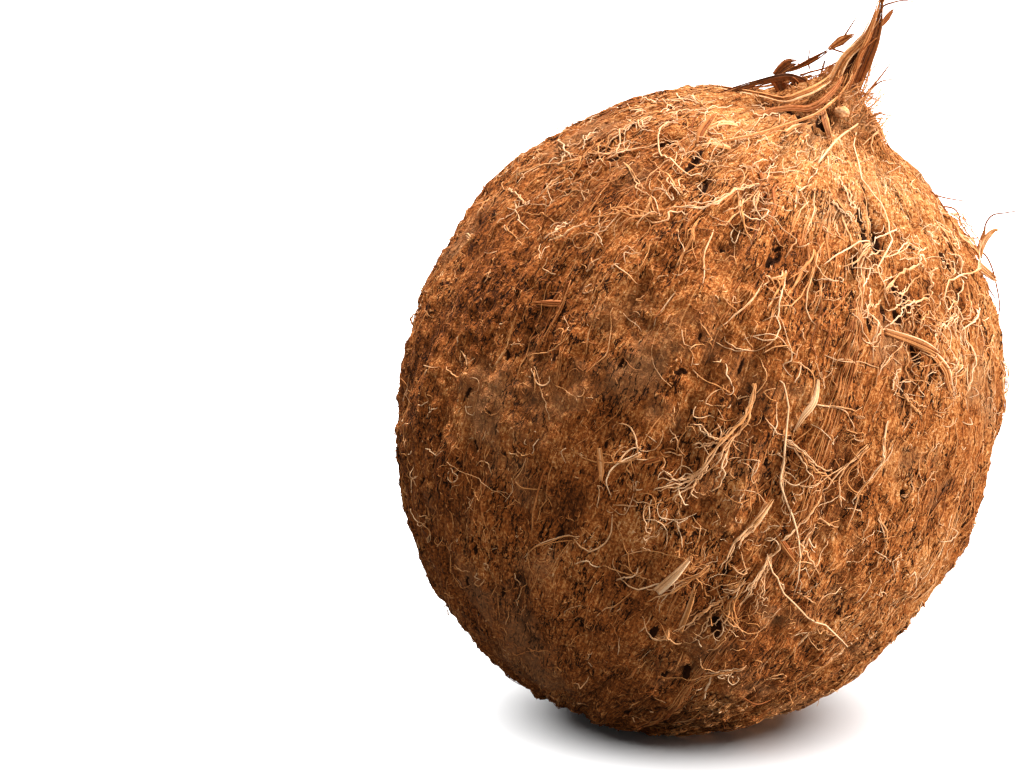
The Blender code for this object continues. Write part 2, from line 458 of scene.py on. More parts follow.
def relief_group() -> bpy.types.NodeTree:
    """Build the group for the fine felt of the coat: its height, and a mask of its cracks."""
    recipe = new_group(
        "coir_relief",
        {"Place": Socket.VECTOR, "Comb": Socket.VECTOR, "Grain": Socket.NUMBER},
        {"Height": Socket.NUMBER, "Crack": Socket.NUMBER})
    given = recipe.given()
    place = given["Place"]

    def combed(across: float, along: float) -> bpy.types.NodeSocket:
        """The grain's coordinates, stretched along it."""
        return recipe.add("VectorMath", {0: given["Comb"], 1: (across, across, along)},
                          operation="MULTIPLY").outputs[0]

    strands = recipe.noise(combed(130.0, 30.0), 1.0, 3.0, 0.6)
    grit = recipe.noise(place, 2000.0, 3.0, 0.66)
    height = recipe.maths("MULTIPLY_ADD", strands, given["Grain"], grit)
    line = recipe.maths("ABSOLUTE", recipe.maths(
        "SUBTRACT", recipe.noise(combed(30.0, 10.0), 1.0, 4.0, 0.6), 0.5))
    open_here = recipe.span(recipe.noise(place, 90.0, 2.0), 0.44, 0.56)
    long_crack = recipe.maths("MULTIPLY", recipe.span(line, 0.022, 0.0), open_here)
    split = recipe.span(recipe.noise(combed(95.0, 15.0), 1.0, 2.0, 0.5), 0.68, 0.75)
    crack = recipe.maths("MAXIMUM", long_crack, split)
    height = recipe.maths("MULTIPLY_ADD", crack, -0.8, height)
    return recipe.give({"Height": height, "Crack": crack})


@dataclass(frozen=True)
class FibreFinish:
    """Single fibres, whose tone is held by each fibre."""

    name: str
    speckle: float = 0.25
    patches: float = 0.25
    roughness: float = 0.75
    shine: float = 0.16
    bump: float = 0.5
    bump_height: float = 0.06 * MM

    def layers(self, recipe: Recipe, place: bpy.types.NodeSocket) -> tuple[object, object, object]:
        """The surface's tone, how much painted shade darkens its hollows, and its fine height."""
        return recipe.attribute("tone"), 0.0, recipe.noise(place, 4200.0, 2.0)

    def material(self, colour: bpy.types.NodeTree) -> bpy.types.Material:
        """Build the material from the coir_colour group."""
        made = bpy.data.materials.new(self.name)
        made.use_nodes = True
        recipe = Recipe(made.node_tree)
        place = recipe.add("TexCoord").outputs["Object"]
        tone, hollow, height = self.layers(recipe, place)
        tint = recipe.add("Group", {
            "Place": place, "Tone": tone, "Speckle": self.speckle, "Patches": self.patches,
            "HollowShade": hollow}, node_tree=colour)
        bump = recipe.add("Bump", {
            "Strength": self.bump, "Distance": self.bump_height, "Height": height})
        recipe.feed(made.node_tree.nodes["Principled BSDF"], {
            "Base Color": tint.outputs["Colour"], "Normal": bump.outputs["Normal"],
            "Roughness": self.roughness, "Specular IOR Level": self.shine})
        return made


@dataclass(frozen=True)
class FeltFinish(FibreFinish):
    """The matted ground of the coat: pith and broken fibre, with painted shade in its hollows,
    cracks and torn holes.
    """

    speckle: float = 0.7
    patches: float = 0.6
    roughness: float = 0.95
    shine: float = 0.08
    bump: float = 1.0
    bump_height: float = 0.42 * MM
    tone: float = 0.50
    grain: float = 1.0
    contrast: float = 0.95

    def layers(self, recipe: Recipe, place: bpy.types.NodeSocket) -> tuple[object, object, object]:
        """The felt's tone, painted shade in its cracks, pits, low places and torn holes, and its
        fine height.
        """
        felt = recipe.add("Group", {
            "Place": place, "Comb": recipe.attribute("comb", "Vector"), "Grain": self.grain},
            node_tree=relief_group()).outputs
        # The tone follows the fine height: random grain, with the sunken cracks darker as painted
        # shade.
        swing = recipe.maths("SUBTRACT", felt["Height"], 0.5 + 0.5 * self.grain)
        # The skin's tone shift, with its painted light and shade, on the felt's base tone.
        tone_with_painted_light = recipe.maths("ADD", recipe.attribute("tone"), self.tone)
        tone = recipe.maths("MULTIPLY_ADD", swing, self.contrast, tone_with_painted_light)
        # Painted shade: the torn holes go nearly black, and the hollows and cracks darken.
        edge = recipe.maths("MULTIPLY_ADD", recipe.noise(place, 900.0, 3.0), 0.5,
                            recipe.attribute("torn"))
        hole = recipe.span(edge, 0.50, 0.62, 0.97)
        painted_shade = recipe.maths("MAXIMUM", recipe.attribute("hollow"),
                            recipe.maths("MULTIPLY", felt["Crack"], 0.85))
        return tone, recipe.maths("MAXIMUM", hole, painted_shade), felt["Height"]


def bm_object(name: str, bm: bmesh.types.BMesh) -> bpy.types.Object:
    """Turn a bmesh into an object in the scene."""
    mesh = bpy.data.meshes.new(name)
    bm.to_mesh(mesh)
    bm.free()
    made = bpy.data.objects.new(name, mesh)
    bpy.context.scene.collection.objects.link(made)
    return made


def mesh_points(mesh: bpy.types.Mesh) -> np.ndarray:
    """A mesh's points as rows."""
    points = np.zeros(len(mesh.vertices) * 3, np.float32)
    mesh.vertices.foreach_get("co", points)
    return points.reshape(-1, 3).astype(float)


def set_points(mesh: bpy.types.Mesh, points: np.ndarray) -> None:
    """Move a mesh's points."""
    mesh.vertices.foreach_set("co", points.astype(np.float32).ravel())
    mesh.update()


def set_attribute(mesh: bpy.types.Mesh, name: str, values: np.ndarray) -> None:
    """Store one number or one vector per point."""
    kind, key = ("FLOAT_VECTOR", "vector") if values.ndim == 2 else ("FLOAT", "value")
    layer = mesh.attributes.new(name, kind, "POINT")
    layer.data.foreach_set(key, values.astype(np.float32).ravel())


def settle(piece: bpy.types.Object, finish: bpy.types.Material) -> None:
    """Dress a finished piece and fix it to the nut's body."""
    piece.data.materials.clear()
    piece.data.materials.append(finish)
    piece.data.shade_smooth()
    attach(piece, "root")
    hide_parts(NODE)
    faces = piece.data.polygons
    corners = np.zeros(len(faces), np.int32)
    faces.foreach_get("loop_total", corners)
    log.info("%s: %d triangles", piece.name, int((corners - 2).sum()))


@dataclass
class HuskSkin:
    """The felted ground of the coat, one closed skin with every ledge and pit in it."""

    form: NutForm
    cuts: int = 125

    def build(self) -> bpy.types.Object:
        """Blow a subdivided cube up into the nut, then raise its relief."""
        bm = bmesh.new()
        bmesh.ops.create_cube(bm, size=2.0)
        bmesh.ops.subdivide_edges(bm, edges=bm.edges[:], cuts=self.cuts, use_grid_fill=True)
        skin = bm_object("husk_skin", bm)
        mesh = skin.data
        cube = mesh_points(mesh)
        self.lay_map(mesh, cube)
        ways = unit(np.tan(cube * math.pi / 4.0))
        depth, torn = self.form.hollow(ways)
        set_points(mesh, self.form.place(ways, -depth))
        # Painted shade: the skin darkens in the low places of its relief and in the pits.
        low = ease(-self.form.relief(ways) / MM, 0.1, 1.1)
        set_attribute(mesh, "comb", self.form.comb(ways))
        # The skin's tone shift carries painted light and shade along with the bleaching.
        set_attribute(mesh, "tone", self.form.bleaching_and_painted_light(ways))
        set_attribute(mesh, "hollow", np.clip(0.5 * torn + 0.55 * low, 0.0, 0.9))
        set_attribute(mesh, "torn", torn)
        return skin

    @staticmethod
    def lay_map(mesh: bpy.types.Mesh, cube: np.ndarray) -> None:
        """Lay the six sides of the cube out side by side as the piece's own map."""
        corners = np.zeros(len(mesh.loops), np.int32)
        mesh.loops.foreach_get("vertex_index", corners)
        at = cube[corners].reshape(-1, 4, 3)
        centre = at.mean(axis=1)
        axis = np.abs(centre).argmax(axis=1)
        positive = np.take_along_axis(centre, axis[:, None], axis=1)[:, 0] > 0.0
        side = axis * 2 + positive
        across, up = (axis + 1) % 3, (axis + 2) % 3
        u = np.take_along_axis(at, across[:, None, None], axis=2)[..., 0]
        v = np.take_along_axis(at, up[:, None, None], axis=2)[..., 0]
        u = np.where(positive[:, None], u, -u)
        cell = np.stack([side % 3, side // 3], axis=-1)[:, None, :]
        spot = (np.stack([u, v], axis=-1) * 0.485 + 0.5 + cell) / (3.0, 2.0)
        layer = mesh.uv_layers.new(name=BAKE_MAP)
        layer.uv.foreach_set("vector", spot.astype(np.float32).ravel())


@dataclass(frozen=True)
class Rod:
    """One thin closed rod, made once and copied for each fibre of a piece."""

    sides: int
    steps: int

    def stand(self, name: str, count: int) -> tuple[bpy.types.Object, np.ndarray]:
        """Make a row of upright rods, one unit of height to a step.

        Args:
            name: The piece's name.
            count: How many rods.

        Returns:
            The piece, and the points of its first rod.
        """
        bm = bmesh.new()
        bmesh.ops.create_cone(
            bm, cap_ends=True, segments=self.sides, radius1=1.0, radius2=1.0, depth=self.steps,
            matrix=Matrix.Translation((0.0, 0.0, self.steps / 2.0)))
        for step in range(1, self.steps):
            bmesh.ops.bisect_plane(
                bm, geom=bm.verts[:] + bm.edges[:] + bm.faces[:], dist=1e-5,
                plane_co=(0.0, 0.0, step), plane_no=(0.0, 0.0, 1.0))
        self.lay_map(bm)
        piece = bm_object(name, bm)
        first = mesh_points(piece.data)
        row = piece.modifiers.new("row", "ARRAY")
        row.count = count
        row.use_relative_offset = False
        row.use_constant_offset = True
        row.constant_offset_displace = (4.0, 0.0, 0.0)
        graph = bpy.context.evaluated_depsgraph_get()
        whole = bpy.data.meshes.new_from_object(piece.evaluated_get(graph))
        piece.modifiers.clear()
        piece.data = whole
        whole.name = name
        return piece, first

    def lay_map(self, bm: bmesh.types.BMesh) -> None:
        """Unroll the rod into a unit square, with its two ends in strips of their own."""
        layer = bm.loops.layers.uv.new(BAKE_MAP)
        for face in bm.faces:
            middle = face.calc_center_median()
            if abs(face.normal.z) > 0.5:
                strip = 0.97 if middle.z > 0.5 * self.steps else 0.03
                for loop in face.loops:
                    at = loop.vert.co
                    loop[layer].uv = (0.5 + 0.4 * at.x, strip + 0.02 * at.y)
                continue
            facing = math.atan2(middle.y, middle.x)
            for loop in face.loops:
                at = loop.vert.co
                turn = math.atan2(at.y, at.x) - facing
                turn = (turn + math.pi) % (2.0 * math.pi) - math.pi
                around = ((facing + math.pi) + turn) / (2.0 * math.pi)
                share = at.z / self.steps
                loop[layer].uv = (around / (1.0 + 1.0 / self.sides), 0.07 + 0.86 * share)


@dataclass
class Strands:
    """The routes of many fibres, with their widths and tones.

    Attributes:
        centres: World points along each fibre, (fibres, steps + 1, 3).
        ups: World directions that each fibre's thickness faces, the same shape.
        wide: Half widths in metres, (fibres, steps + 1).
        thick: Half thicknesses in metres, (fibres, steps + 1).
        tone: Tone along the coir ramp, (fibres, steps + 1).
    """

    centres: np.ndarray
    ups: np.ndarray
    wide: np.ndarray
    thick: np.ndarray
    tone: np.ndarray

    @staticmethod
    def gather(parts: list["Strands"]) -> "Strands":
        """All the fibres of several sets with the same number of steps."""
        return Strands(*(np.concatenate([getattr(part, name) for part in parts])
                         for name in ("centres", "ups", "wide", "thick", "tone")))

    def build(self, name: str, sides: int) -> bpy.types.Object:
        """Lay a row of rods along the routes.

        Args:
            name: The piece's name.
            sides: Sides of each fibre.

        Returns:
            The piece, with a map cell and a tone for each fibre.
        """
        count, rings = self.wide.shape
        piece, first = Rod(sides, rings - 1).stand(name, count)
        ring = np.rint(first[:, 2]).astype(int)
        along = unit(np.gradient(self.centres, axis=1))
        side = unit(np.cross(along, self.ups))
        out = np.cross(side, along)
        aside = side[:, ring] * (first[:, 0] * self.wide[:, ring])[..., None]
        off = out[:, ring] * (first[:, 1] * self.thick[:, ring])[..., None]
        points = self.centres[:, ring] + aside + off
        points[..., 2] = np.maximum(points[..., 2], LOWEST_FIBRE)
        set_points(piece.data, points.reshape(-1, 3))
        set_attribute(piece.data, "tone", self.tone[:, ring].ravel())
        self.spread_map(piece.data, count)
        return piece

    @staticmethod
    def spread_map(mesh: bpy.types.Mesh, count: int) -> None:
        """Give each fibre its own cell of the map."""
        layer = mesh.uv_layers[BAKE_MAP]
        spots = np.zeros(len(mesh.loops) * 2, np.float32)
        layer.uv.foreach_get("vector", spots)
        spots = spots.reshape(count, -1, 2)
        cells = math.ceil(math.sqrt(count))
        order = np.arange(count)
        cell = np.stack([order % cells, order // cells], axis=-1)[:, None, :]
        layer.uv.foreach_set("vector", ((spots * 0.86 + 0.07 + cell) / cells).ravel())


def spline(given: np.ndarray, steps: int) -> np.ndarray:
    """Rows along a smooth curve through a few points."""
    along = np.linspace(0.0, len(given) - 1.0, steps + 1)
    span = np.minimum(along.astype(int), len(given) - 2)
    t = (along - span)[:, None]
    before, start = given[np.maximum(span - 1, 0)], given[span]
    end, after = given[span + 1], given[np.minimum(span + 2, len(given) - 1)]
    leave, arrive = (end - before) / 2.0, (after - start) / 2.0
    return (start * (2 * t**3 - 3 * t**2 + 1) + leave * (t**3 - 2 * t**2 + t)
            + end * (3 * t**2 - 2 * t**3) + arrive * (t**3 - t**2))


def read_line(line: np.ndarray, places: np.ndarray) -> tuple[np.ndarray, np.ndarray]:
    """Read a line between its rows.

    Args:
        line: Rows of points.
        places: Where to read it, in rows, of any shape.

    Returns:
        The row before each place, and the point there.
    """
    before = np.minimum(places.astype(int), len(line) - 2)
    part = (places - before)[..., None]
    return before, line[before] * (1.0 - part) + line[before + 1] * part


@dataclass(frozen=True)
class Tangle:
    """A place where loose fibres gather, with its spread in degrees and its share of them."""

    polar: float
    bearing: float
    spread: float
    share: float


TANGLES = (
    Tangle(42, -52, 12, 0.22), Tangle(36, -28, 9, 0.07), Tangle(49, 30, 6, 0.05),
    Tangle(58, 35, 6, 0.06), Tangle(45, 52, 8, 0.06), Tangle(80, 0, 6, 0.04),
    Tangle(93, -6, 7, 0.05), Tangle(83, 14, 6, 0.03), Tangle(102, 9, 7, 0.03),
    Tangle(116, 11, 8, 0.06), Tangle(60, 2, 6, 0.03), Tangle(95, 33, 9, 0.05),
    Tangle(55, 130, 13, 0.07), Tangle(80, 190, 15, 0.07), Tangle(50, 235, 12, 0.07),
)


@dataclass(frozen=True)
class Wisp:
    """A loose fibre, or a bundle of them, along a few places on the coat.

    Attributes:
        places: Polar angle and bearing of each place, in degrees.
        fibres: How many fibres are in it.
        width: Full width of a fibre, in millimetres.
        fan: How far the fibres spread at the far end, in millimetres.
        height: How far the middle stands off the coat, in millimetres.
        tone: Tone along the coir ramp.
    """

    places: tuple[tuple[float, float], ...]
    fibres: int = 1
    width: float = 0.36
    fan: float = 0.0
    height: float = 0.6
    tone: float = 0.84


WISPS = (
    Wisp(((72.5, 0), (75.5, 0.5), (79.5, 0.5), (84, -1.5), (90.5, -3), (93.5, -5)), 5, 0.4, 1.6,
        0.9, 0.78),
    Wisp(((89, -2.5), (93, -4), (95.5, -7), (98, -9.5)), 6, 0.34, 5, 0.9),
    Wisp(((84, -1.5), (85, -4), (85.5, -6.5)), 4, 0.34, 2.6, 1),
    Wisp(((83.5, -0.5), (87.5, 0), (91, 0.5), (92.5, -1)), 2, 0.34, 1.2, 1),
    Wisp(((70.5, 4), (72.5, 6), (80, 9), (86, 10.5), (88.5, 12), (93, 16), (97.5, 19),
        (106.5, 23.5)), 1, 0.42, 0, 0.8, 0.88),
    Wisp(((80, 9), (84, 10.2), (87, 11), (91.5, 13), (94.5, 14)), 3, 0.34, 1.4),
    Wisp(((80, 8.5), (81, 12), (83, 15), (84, 18.5), (83.5, 20.5)), 5, 0.32, 2.6, 0.8),
    Wisp(((71, 28), (76, 28.5), (78.5, 29), (85, 26.5), (88, 27), (92, 27)), 2, 0.48, 0.4, 0.5,
        0.88),
    Wisp(((87, 19.5), (91, 18), (96, 15.5), (101, 14.5), (104.5, 13)), 2, 0.38, 0.8),
    Wisp(((100.5, 14), (103, 16.5), (106.5, 21), (109.5, 27.5), (112, 37), (116.5, 48)), 1, 0.34,
        0, 1, 0.88),
    Wisp(((95.5, 17.5), (97.5, 20.5), (99.5, 24), (95, 25)), 1, 0.38),
    Wisp(((87.5, 33), (89, 34), (92, 37), (94.5, 37.5), (98.5, 37.5), (103, 39), (105.5, 38.5)), 2,
        0.38, 0.8, 0.5),
    Wisp(((100, 15), (105, 14.8), (108.5, 15), (113, 15.5)), 9, 0.3, 3.4, 0.8),
    Wisp(((91.5, 10), (96, 9.5), (99.5, 8), (103.5, 8.5), (107.5, 8.5)), 5, 0.4, 1.8, 0.8),
    Wisp(((112, 11), (115, 9.5), (119, 9), (123, 7.5)), 7, 0.32, 3, 0.9),
    Wisp(((33.5, -57.5), (36.5, -55), (40, -47.5), (40.5, -43.5), (42, -36.5), (39.5, -33)), 1,
        0.4, 0, 0.9, 0.9),
    Wisp(((43.5, -74.5), (46, -71.5), (48, -69.5)), 1, 0.4, 0, 0.8, 0.9),
    Wisp(((50, -84), (50, -76), (50.5, -69.5)), 1, 0.36, 0, 0.9, 0.88),
    Wisp(((62.5, -80.5), (62, -71.5), (61.5, -62.5)), 2, 0.36, 1.2, 0.6),
    Wisp(((62.5, -82), (57, -79.5), (51, -68), (47, -64.5), (43, -57), (39, -53.5), (35, -51.5),
        (32.5, -46.5)), 3, 0.38, 0.8, 0.5, 0.8),
    Wisp(((36, -17.5), (39, -20.5), (43.5, -23), (46, -25.5), (48.5, -31.5), (50, -36.5)), 3, 0.38,
        1.4, 0.7, 0.86),
    Wisp(((53.5, -36), (52, -31), (50.5, -31.5), (49, -28)), 1, 0.4, 0, 0.6, 0.92),
    Wisp(((65.5, -55), (63, -52.5), (62.5, -54), (60, -51)), 1, 0.42, 0, 0.8, 0.92),
    Wisp(((65.5, -53.5), (64, -49.5), (60.5, -47.5), (58, -44.5)), 2, 0.38, 0.6, 0.7, 0.9),
    Wisp(((58, -47.5), (55.5, -42.5), (54, -41.5), (53.5, -43)), 1, 0.38, 0, 0.6, 0.88),
    Wisp(((45.5, -54.5), (47, -47), (49, -42.5), (48.5, -36)), 2, 0.36, 0.8, 0.6, 0.84),
    Wisp(((11, 26), (17, 18), (25, 15.5), (28, 18), (30, 21), (31.5, 23.5), (34.5, 24.5), (37, 25),
        (39.5, 24), (44.5, 20), (46.5, 21.3), (48.5, 22.5), (50.5, 25)), 1, 0.44, 0, 0.8, 0.86),
    Wisp(((40, 13.8), (44, 14.4), (50, 15.2), (57, 15.8), (64, 16)), 4, 0.26, 0.5, 0.4, 0.68),
    Wisp(((40.5, 22.5), (42, 19), (42.5, 17.5), (44, 17)), 1, 0.32, 0, 0.6, 0.86),
    Wisp(((44.5, 18), (47, 17.5), (48, 17), (50, 15.5)), 1, 0.34, 0, 0.6, 0.86),
    Wisp(((42, 22), (40.5, 26), (38.5, 29.5), (37, 31.5), (38, 33), (38.5, 35.5), (37, 39.5)), 1,
        0.32, 0, 0.7, 0.86),
    Wisp(((48.5, 22.5), (46, 25), (43, 29), (42, 31.5), (41, 34.5), (41.5, 36.5)), 3, 0.34, 0.5,
        0.8, 0.86),
    Wisp(((41, 34.5), (39.5, 35.5), (39, 37), (40.5, 37)), 1, 0.32, 0, 0.6, 0.86),
    Wisp(((48.5, 23), (47, 25), (47, 27.5)), 1, 0.3, 0, 0.8, 0.86),
    Wisp(((48.5, 23.5), (48, 25.5), (48, 27.5), (46, 29.5)), 2, 0.32, 0.5, 0.8, 0.86),
    Wisp(((49.5, 26.5), (48, 28), (45.5, 31)), 1, 0.34, 0, 0.7, 0.86),
    Wisp(((47, 38), (48.5, 32), (49.5, 29), (50, 28)), 2, 0.34, 0.4, 0.9, 0.86),
    Wisp(((50, 28), (52.5, 26.5), (55, 23.5)), 1, 0.34, 0, 0.9, 0.86),
    Wisp(((50, 28), (51.5, 29), (49.5, 32)), 1, 0.34, 0, 0.9, 0.86),
    Wisp(((51.5, 23.5), (51, 26), (48.5, 28)), 1, 0.32, 0, 0.7, 0.86),
    Wisp(((49.5, 37), (51.5, 34), (53.5, 33.5)), 1, 0.32, 0, 0.7, 0.84),
    Wisp(((55, 17), (52.5, 18), (50.5, 18), (49, 18.5)), 1, 0.34, 0, 0.7, 0.84),
    Wisp(((52.5, 18), (52, 20), (50, 22)), 1, 0.3, 0, 0.7, 0.84),
    Wisp(((54, 19), (55, 21), (55.5, 23.5)), 1, 0.34, 0, 0.7, 0.84),
    Wisp(((26.5, 7), (30.5, 10), (34.5, 11.5), (37.5, 13.5)), 3, 0.3, 0.8, 0.5, 0.78),
    Wisp(((34, 5), (35.5, 9), (37, 12), (38.5, 13.5)), 3, 0.3, 0.8, 0.5, 0.78),
    Wisp(((40, 84), (40, 75), (40, 66.5), (41.5, 52.5), (43, 46), (46.5, 43), (48.5, 44),
        (46.5, 47), (45.5, 45)), 1, 0.42, 0, 1.3, 0.88),
    Wisp(((54.5, 19.5), (55.5, 22.5), (57, 21.5), (59, 20), (59, 17.5)), 1, 0.38),
    Wisp(((65.5, 27.5), (63.5, 27), (60.5, 29), (57.5, 32.5)), 2, 0.36, 0.8),
    Wisp(((56, 29), (58.5, 30.5), (61, 31), (63.5, 32.5)), 1, 0.38),
    Wisp(((53, 52.5), (56, 54.5), (60, 54), (63, 53)), 2, 0.38, 0.8, 0.7),
    Wisp(((46, 48), (50, 51), (56, 52)), 3, 0.34, 1.6, 0.7, 0.78),
    Wisp(((65.5, 31), (67, 33.5), (67.5, 37)), 4, 0.36, 1.6, 0.7),
    Wisp(((28, 68), (32, 72), (37, 80), (41, 85)), 5, 0.38, 1, 1.2, 0.72),
    Wisp(((29, 86), (32, 88), (36, 88), (40, 86)), 4, 0.38, 1.4, 1.6, 0.72),
    Wisp(((30, 58), (35, 60), (40, 62)), 3, 0.4, 1.2, 0.8, 0.72),
)


@dataclass
class Coat:
    """All the fibres that lie on the nut, from the felt to the stray hairs."""

    form: NutForm
    rng: np.random.Generator = field(default_factory=lambda: np.random.default_rng(2024))

    def anywhere(self, count: int) -> np.ndarray:
        """Even random ways all over the nut."""
        return unit(self.rng.normal(size=(count, 3)))

    def in_tangles(self, count: int) -> np.ndarray:
        """Random ways gathered where loose fibres gather."""
        polar, bearing, spreads, shares = np.array(
            [(each.polar, each.bearing, each.spread, each.share) for each in TANGLES]).T
        picks = self.rng.choice(len(TANGLES), size=count, p=shares / shares.sum())
        spreads = np.radians(spreads)[picks, None]
        middles = self.form.ways(polar, bearing)[picks]
        return unit(middles + spreads * self.rng.normal(size=(count, 3)))

    def walk(self, ways: np.ndarray, heading: np.ndarray, length: np.ndarray,
             turns: np.ndarray, pull: float) -> np.ndarray:
        """Walk fibres over the nut.

        Args:
            ways: Where each starts.
            heading: Radians off the grain in which each starts.
            length: Length of each in metres.
            turns: Radians that each turns at each step, (fibres, steps).
            pull: How strongly each step swings back to the grain, from 0 to 1.

        Returns:
            Ways along each fibre, (fibres, steps + 1, 3).
        """
        down, across = self.form.grain(ways)
        aim = np.cos(heading)[:, None] * down + np.sin(heading)[:, None] * across
        stride = (length / turns.shape[1] / self.form.reach(ways))[:, None]
        track = [ways]
        for turn in turns.T[..., None]:
            ways = unit(ways + aim * stride)
            down, across = self.form.grain(ways)
            sway = 0.35 * Hills(31)(ways * 4.0)[:, None]
            flow = (down * np.cos(sway) + across * np.sin(sway)) * np.sign(dot(aim, down))
            aim = aim + flow * pull
            aim = unit(aim - ways * dot(aim, ways))
            aim = np.cos(turn) * aim + np.sin(turn) * np.cross(ways, aim)
            track.append(ways)
        return np.stack(track, axis=1)

    def strands(self, routes: np.ndarray, lift: np.ndarray, half_width: np.ndarray,
                tone: np.ndarray, tip: float = 0.35, flatness: float = 0.8) -> Strands:
        """Put routes at a height above the coat and give them width and tone.

        Args:
            routes: Ways along each fibre.
            lift: Height of each point above the coat, in metres.
            half_width: Half width of each fibre at its middle, in metres.
            tone: Tone of each fibre.
            tip: Share of the width that is left at the ends.
            flatness: Thickness as a share of width.

        Returns:
            The strands, in the world's frame.
        """
        share = np.linspace(0.0, 1.0, routes.shape[1])
        taper = tip + (1.0 - tip) * np.sin(math.pi * (0.12 + 0.83 * share)) ** 0.6
        wide = half_width[:, None] * taper
        tones = tone[:, None] + 0.06 * (share - 0.5) + 0.10 * Hills(33)(routes * 9.0)
        # Each fibre takes the coat's tone shift, painted light and shade included.
        tones = tones + 0.8 * self.form.bleaching_and_painted_light(routes)
        return Strands(self.form.place(routes, lift), self.form.leaned(self.form.normals(routes)),
                       wide, wide * flatness, tones)

    def whole(self, routes: np.ndarray) -> np.ndarray:
        """True for each route that crosses no pit."""
        return ~(self.form.hollow(routes)[1] > 0.35).any(axis=1)

    def bald(self, ways: np.ndarray) -> np.ndarray:
        """How far the fibres have worn off, from 0 to 1: round the neck and down one side."""
        polar, bearing = self.form.polar(ways), np.radians(self.form.bearing(ways))
        cap = ease(-polar, -34.0, -20.0)
        side = ease(-polar, -62.0, -46.0) * ease(np.cos(bearing - 1.08), 0.55, 0.85)
        return np.maximum(cap, side)

    def lay(self, routes: np.ndarray, rise: tuple[float, float], arch: float, sunk: float,
            half_width: tuple[float, float], tone: tuple[float, float], thick: float = 0.0,
            flatness: float = 0.8) -> Strands:
        """Lay fibres half sunk in the coat, all but those that cross a pit.

        Args:
            routes: Ways along each fibre.
            rise: Lowest and highest rise of a fibre's middle, in millimetres.
            arch: How blunt the rise is: less is blunter.
            sunk: How deep the ends are sunk, in millimetres.
            half_width: Least and greatest half width, in millimetres.
            tone: Mean tone and its spread.
            thick: Share of the fibres that are 2.2 times as wide.
            flatness: Thickness as a share of width.

        Returns:
            The strands, in the world's frame.
        """
        routes = routes[self.whole(routes)]
        count, rows = routes.shape[:2]
        arc = np.sin(np.linspace(0.0, math.pi, rows)) ** arch
        lift = (self.rng.uniform(*rise, count)[:, None] * arc - sunk) * MM
        wide = self.rng.uniform(*half_width, count)
        if thick:
            wide = wide * np.where(self.rng.random(count) < thick, 2.2, 1.0)
        return self.strands(routes, lift, wide * MM, self.rng.normal(*tone, count),
                            flatness=flatness)

    def felt(self, count: int, steps: int = 3) -> Strands:
        """Broken bits of fibre that curl out of the felted ground, half sunk in it."""
        ways = self.anywhere(int(count * 1.15))
        ways = ways[self.rng.random(len(ways)) > 0.85 * self.bald(ways)][:count]
        count = len(ways)
        with_grain = self.rng.random(count) < 0.5
        heading = np.where(with_grain, self.rng.normal(0.0, 0.5, count),
                           self.rng.uniform(-math.pi, math.pi, count))
        length = (0.45 + self.rng.gamma(1.8, 0.42, count)).clip(0.45, 3.2) * MM
        turns = self.rng.normal(0.0, 0.5, (count, 1)) + self.rng.normal(0.0, 0.35, (count, steps))
        return self.lay(self.walk(ways, heading, length, turns, 0.0), (0.02, 0.30), 0.7, 0.09,
                        (0.07, 0.17), (0.60, 0.12))

    def combed(self, count: int, steps: int = 7) -> Strands:
        """Long fibres that still lie with the grain, thickest towards the stem."""
        ways = self.anywhere(count * 6)
        polar, off = self.form.polar(ways), np.abs(self.form.off_seam(ways))
        bearing = np.radians(self.form.bearing(ways))
        keep = 0.04 + 0.40 * ease(-polar, -72.0, -30.0) + 0.12 * np.exp(-(off / 12.0) ** 2)
        keep += (0.20 * ease(np.cos(bearing - 1.2), 0.5, 0.95)
                 + 0.3 * ease(Hills(36)(ways * 5.0), 0.1, 0.5))
        keep *= 1.0 - 0.88 * self.bald(ways)
        ways = ways[self.rng.random(len(ways)) < keep][:count]
        count = len(ways)
        heading = self.rng.normal(0.0, 0.25, count)
        length = self.rng.uniform(3.0, 15.0, count) * MM
        turns = self.rng.normal(0.0, 0.15, (count, steps))
        return self.lay(self.walk(ways, heading, length, turns, 0.22), (0.03, 0.35), 0.6, 0.08,
                        (0.08, 0.19), (0.63, 0.10), thick=0.08, flatness=0.6)

    def curls(self, count: int, steps: int = 16) -> Strands:
        """Loose pale fibres that kink and curl over the coat, mostly in tangles."""
        gathered = int(count * 0.6)
        ways = np.concatenate([self.in_tangles(gathered), self.anywhere(count - gathered)])
        under = self.form.leaned(ways)[:, 2] < UNDERSIDE
        ways = ways[~under | (self.rng.random(len(ways)) < 0.25)]
        count = len(ways)
        heading = self.rng.uniform(-math.pi, math.pi, count)
        length = (1.8 + self.rng.gamma(1.8, 1.9, count)).clip(1.8, 16.0) * MM
        bend = self.rng.normal(0.0, 0.12, (count, 1)) * self.rng.choice([0.3, 0.8, 1.5], (count, 1))
        turns = bend + self.rng.normal(0.0, 0.12, (count, steps))
        kinked = self.rng.random((count, steps)) < 0.16
        turns += kinked * self.rng.normal(0.0, 1.0, (count, steps))
        routes = self.walk(ways, heading, length, turns, 0.0)
        share = np.linspace(0.0, 1.0, steps + 1)
        high = self.rng.gamma(1.6, 0.24, count)[:, None] + 0.1
        wave = (self.rng.uniform(4.0, 13.0, (count, 1)) * share
                + self.rng.uniform(0.0, 6.0, (count, 1)))
        hump = np.sin(math.pi * share) ** 0.8 * (1.0 + 0.5 * np.sin(wave))
        free = self.rng.random((count, 1)) < 0.3
        rising = ease(share, 0.0, 0.9) * np.ones((count, 1))
        lift = high * np.where(free, rising * 1.5, hump) * MM
        width = self.rng.uniform(0.08, 0.16, count) * MM
        return self.strands(routes, lift, width, self.rng.normal(0.82, 0.08, count), tip=0.3)

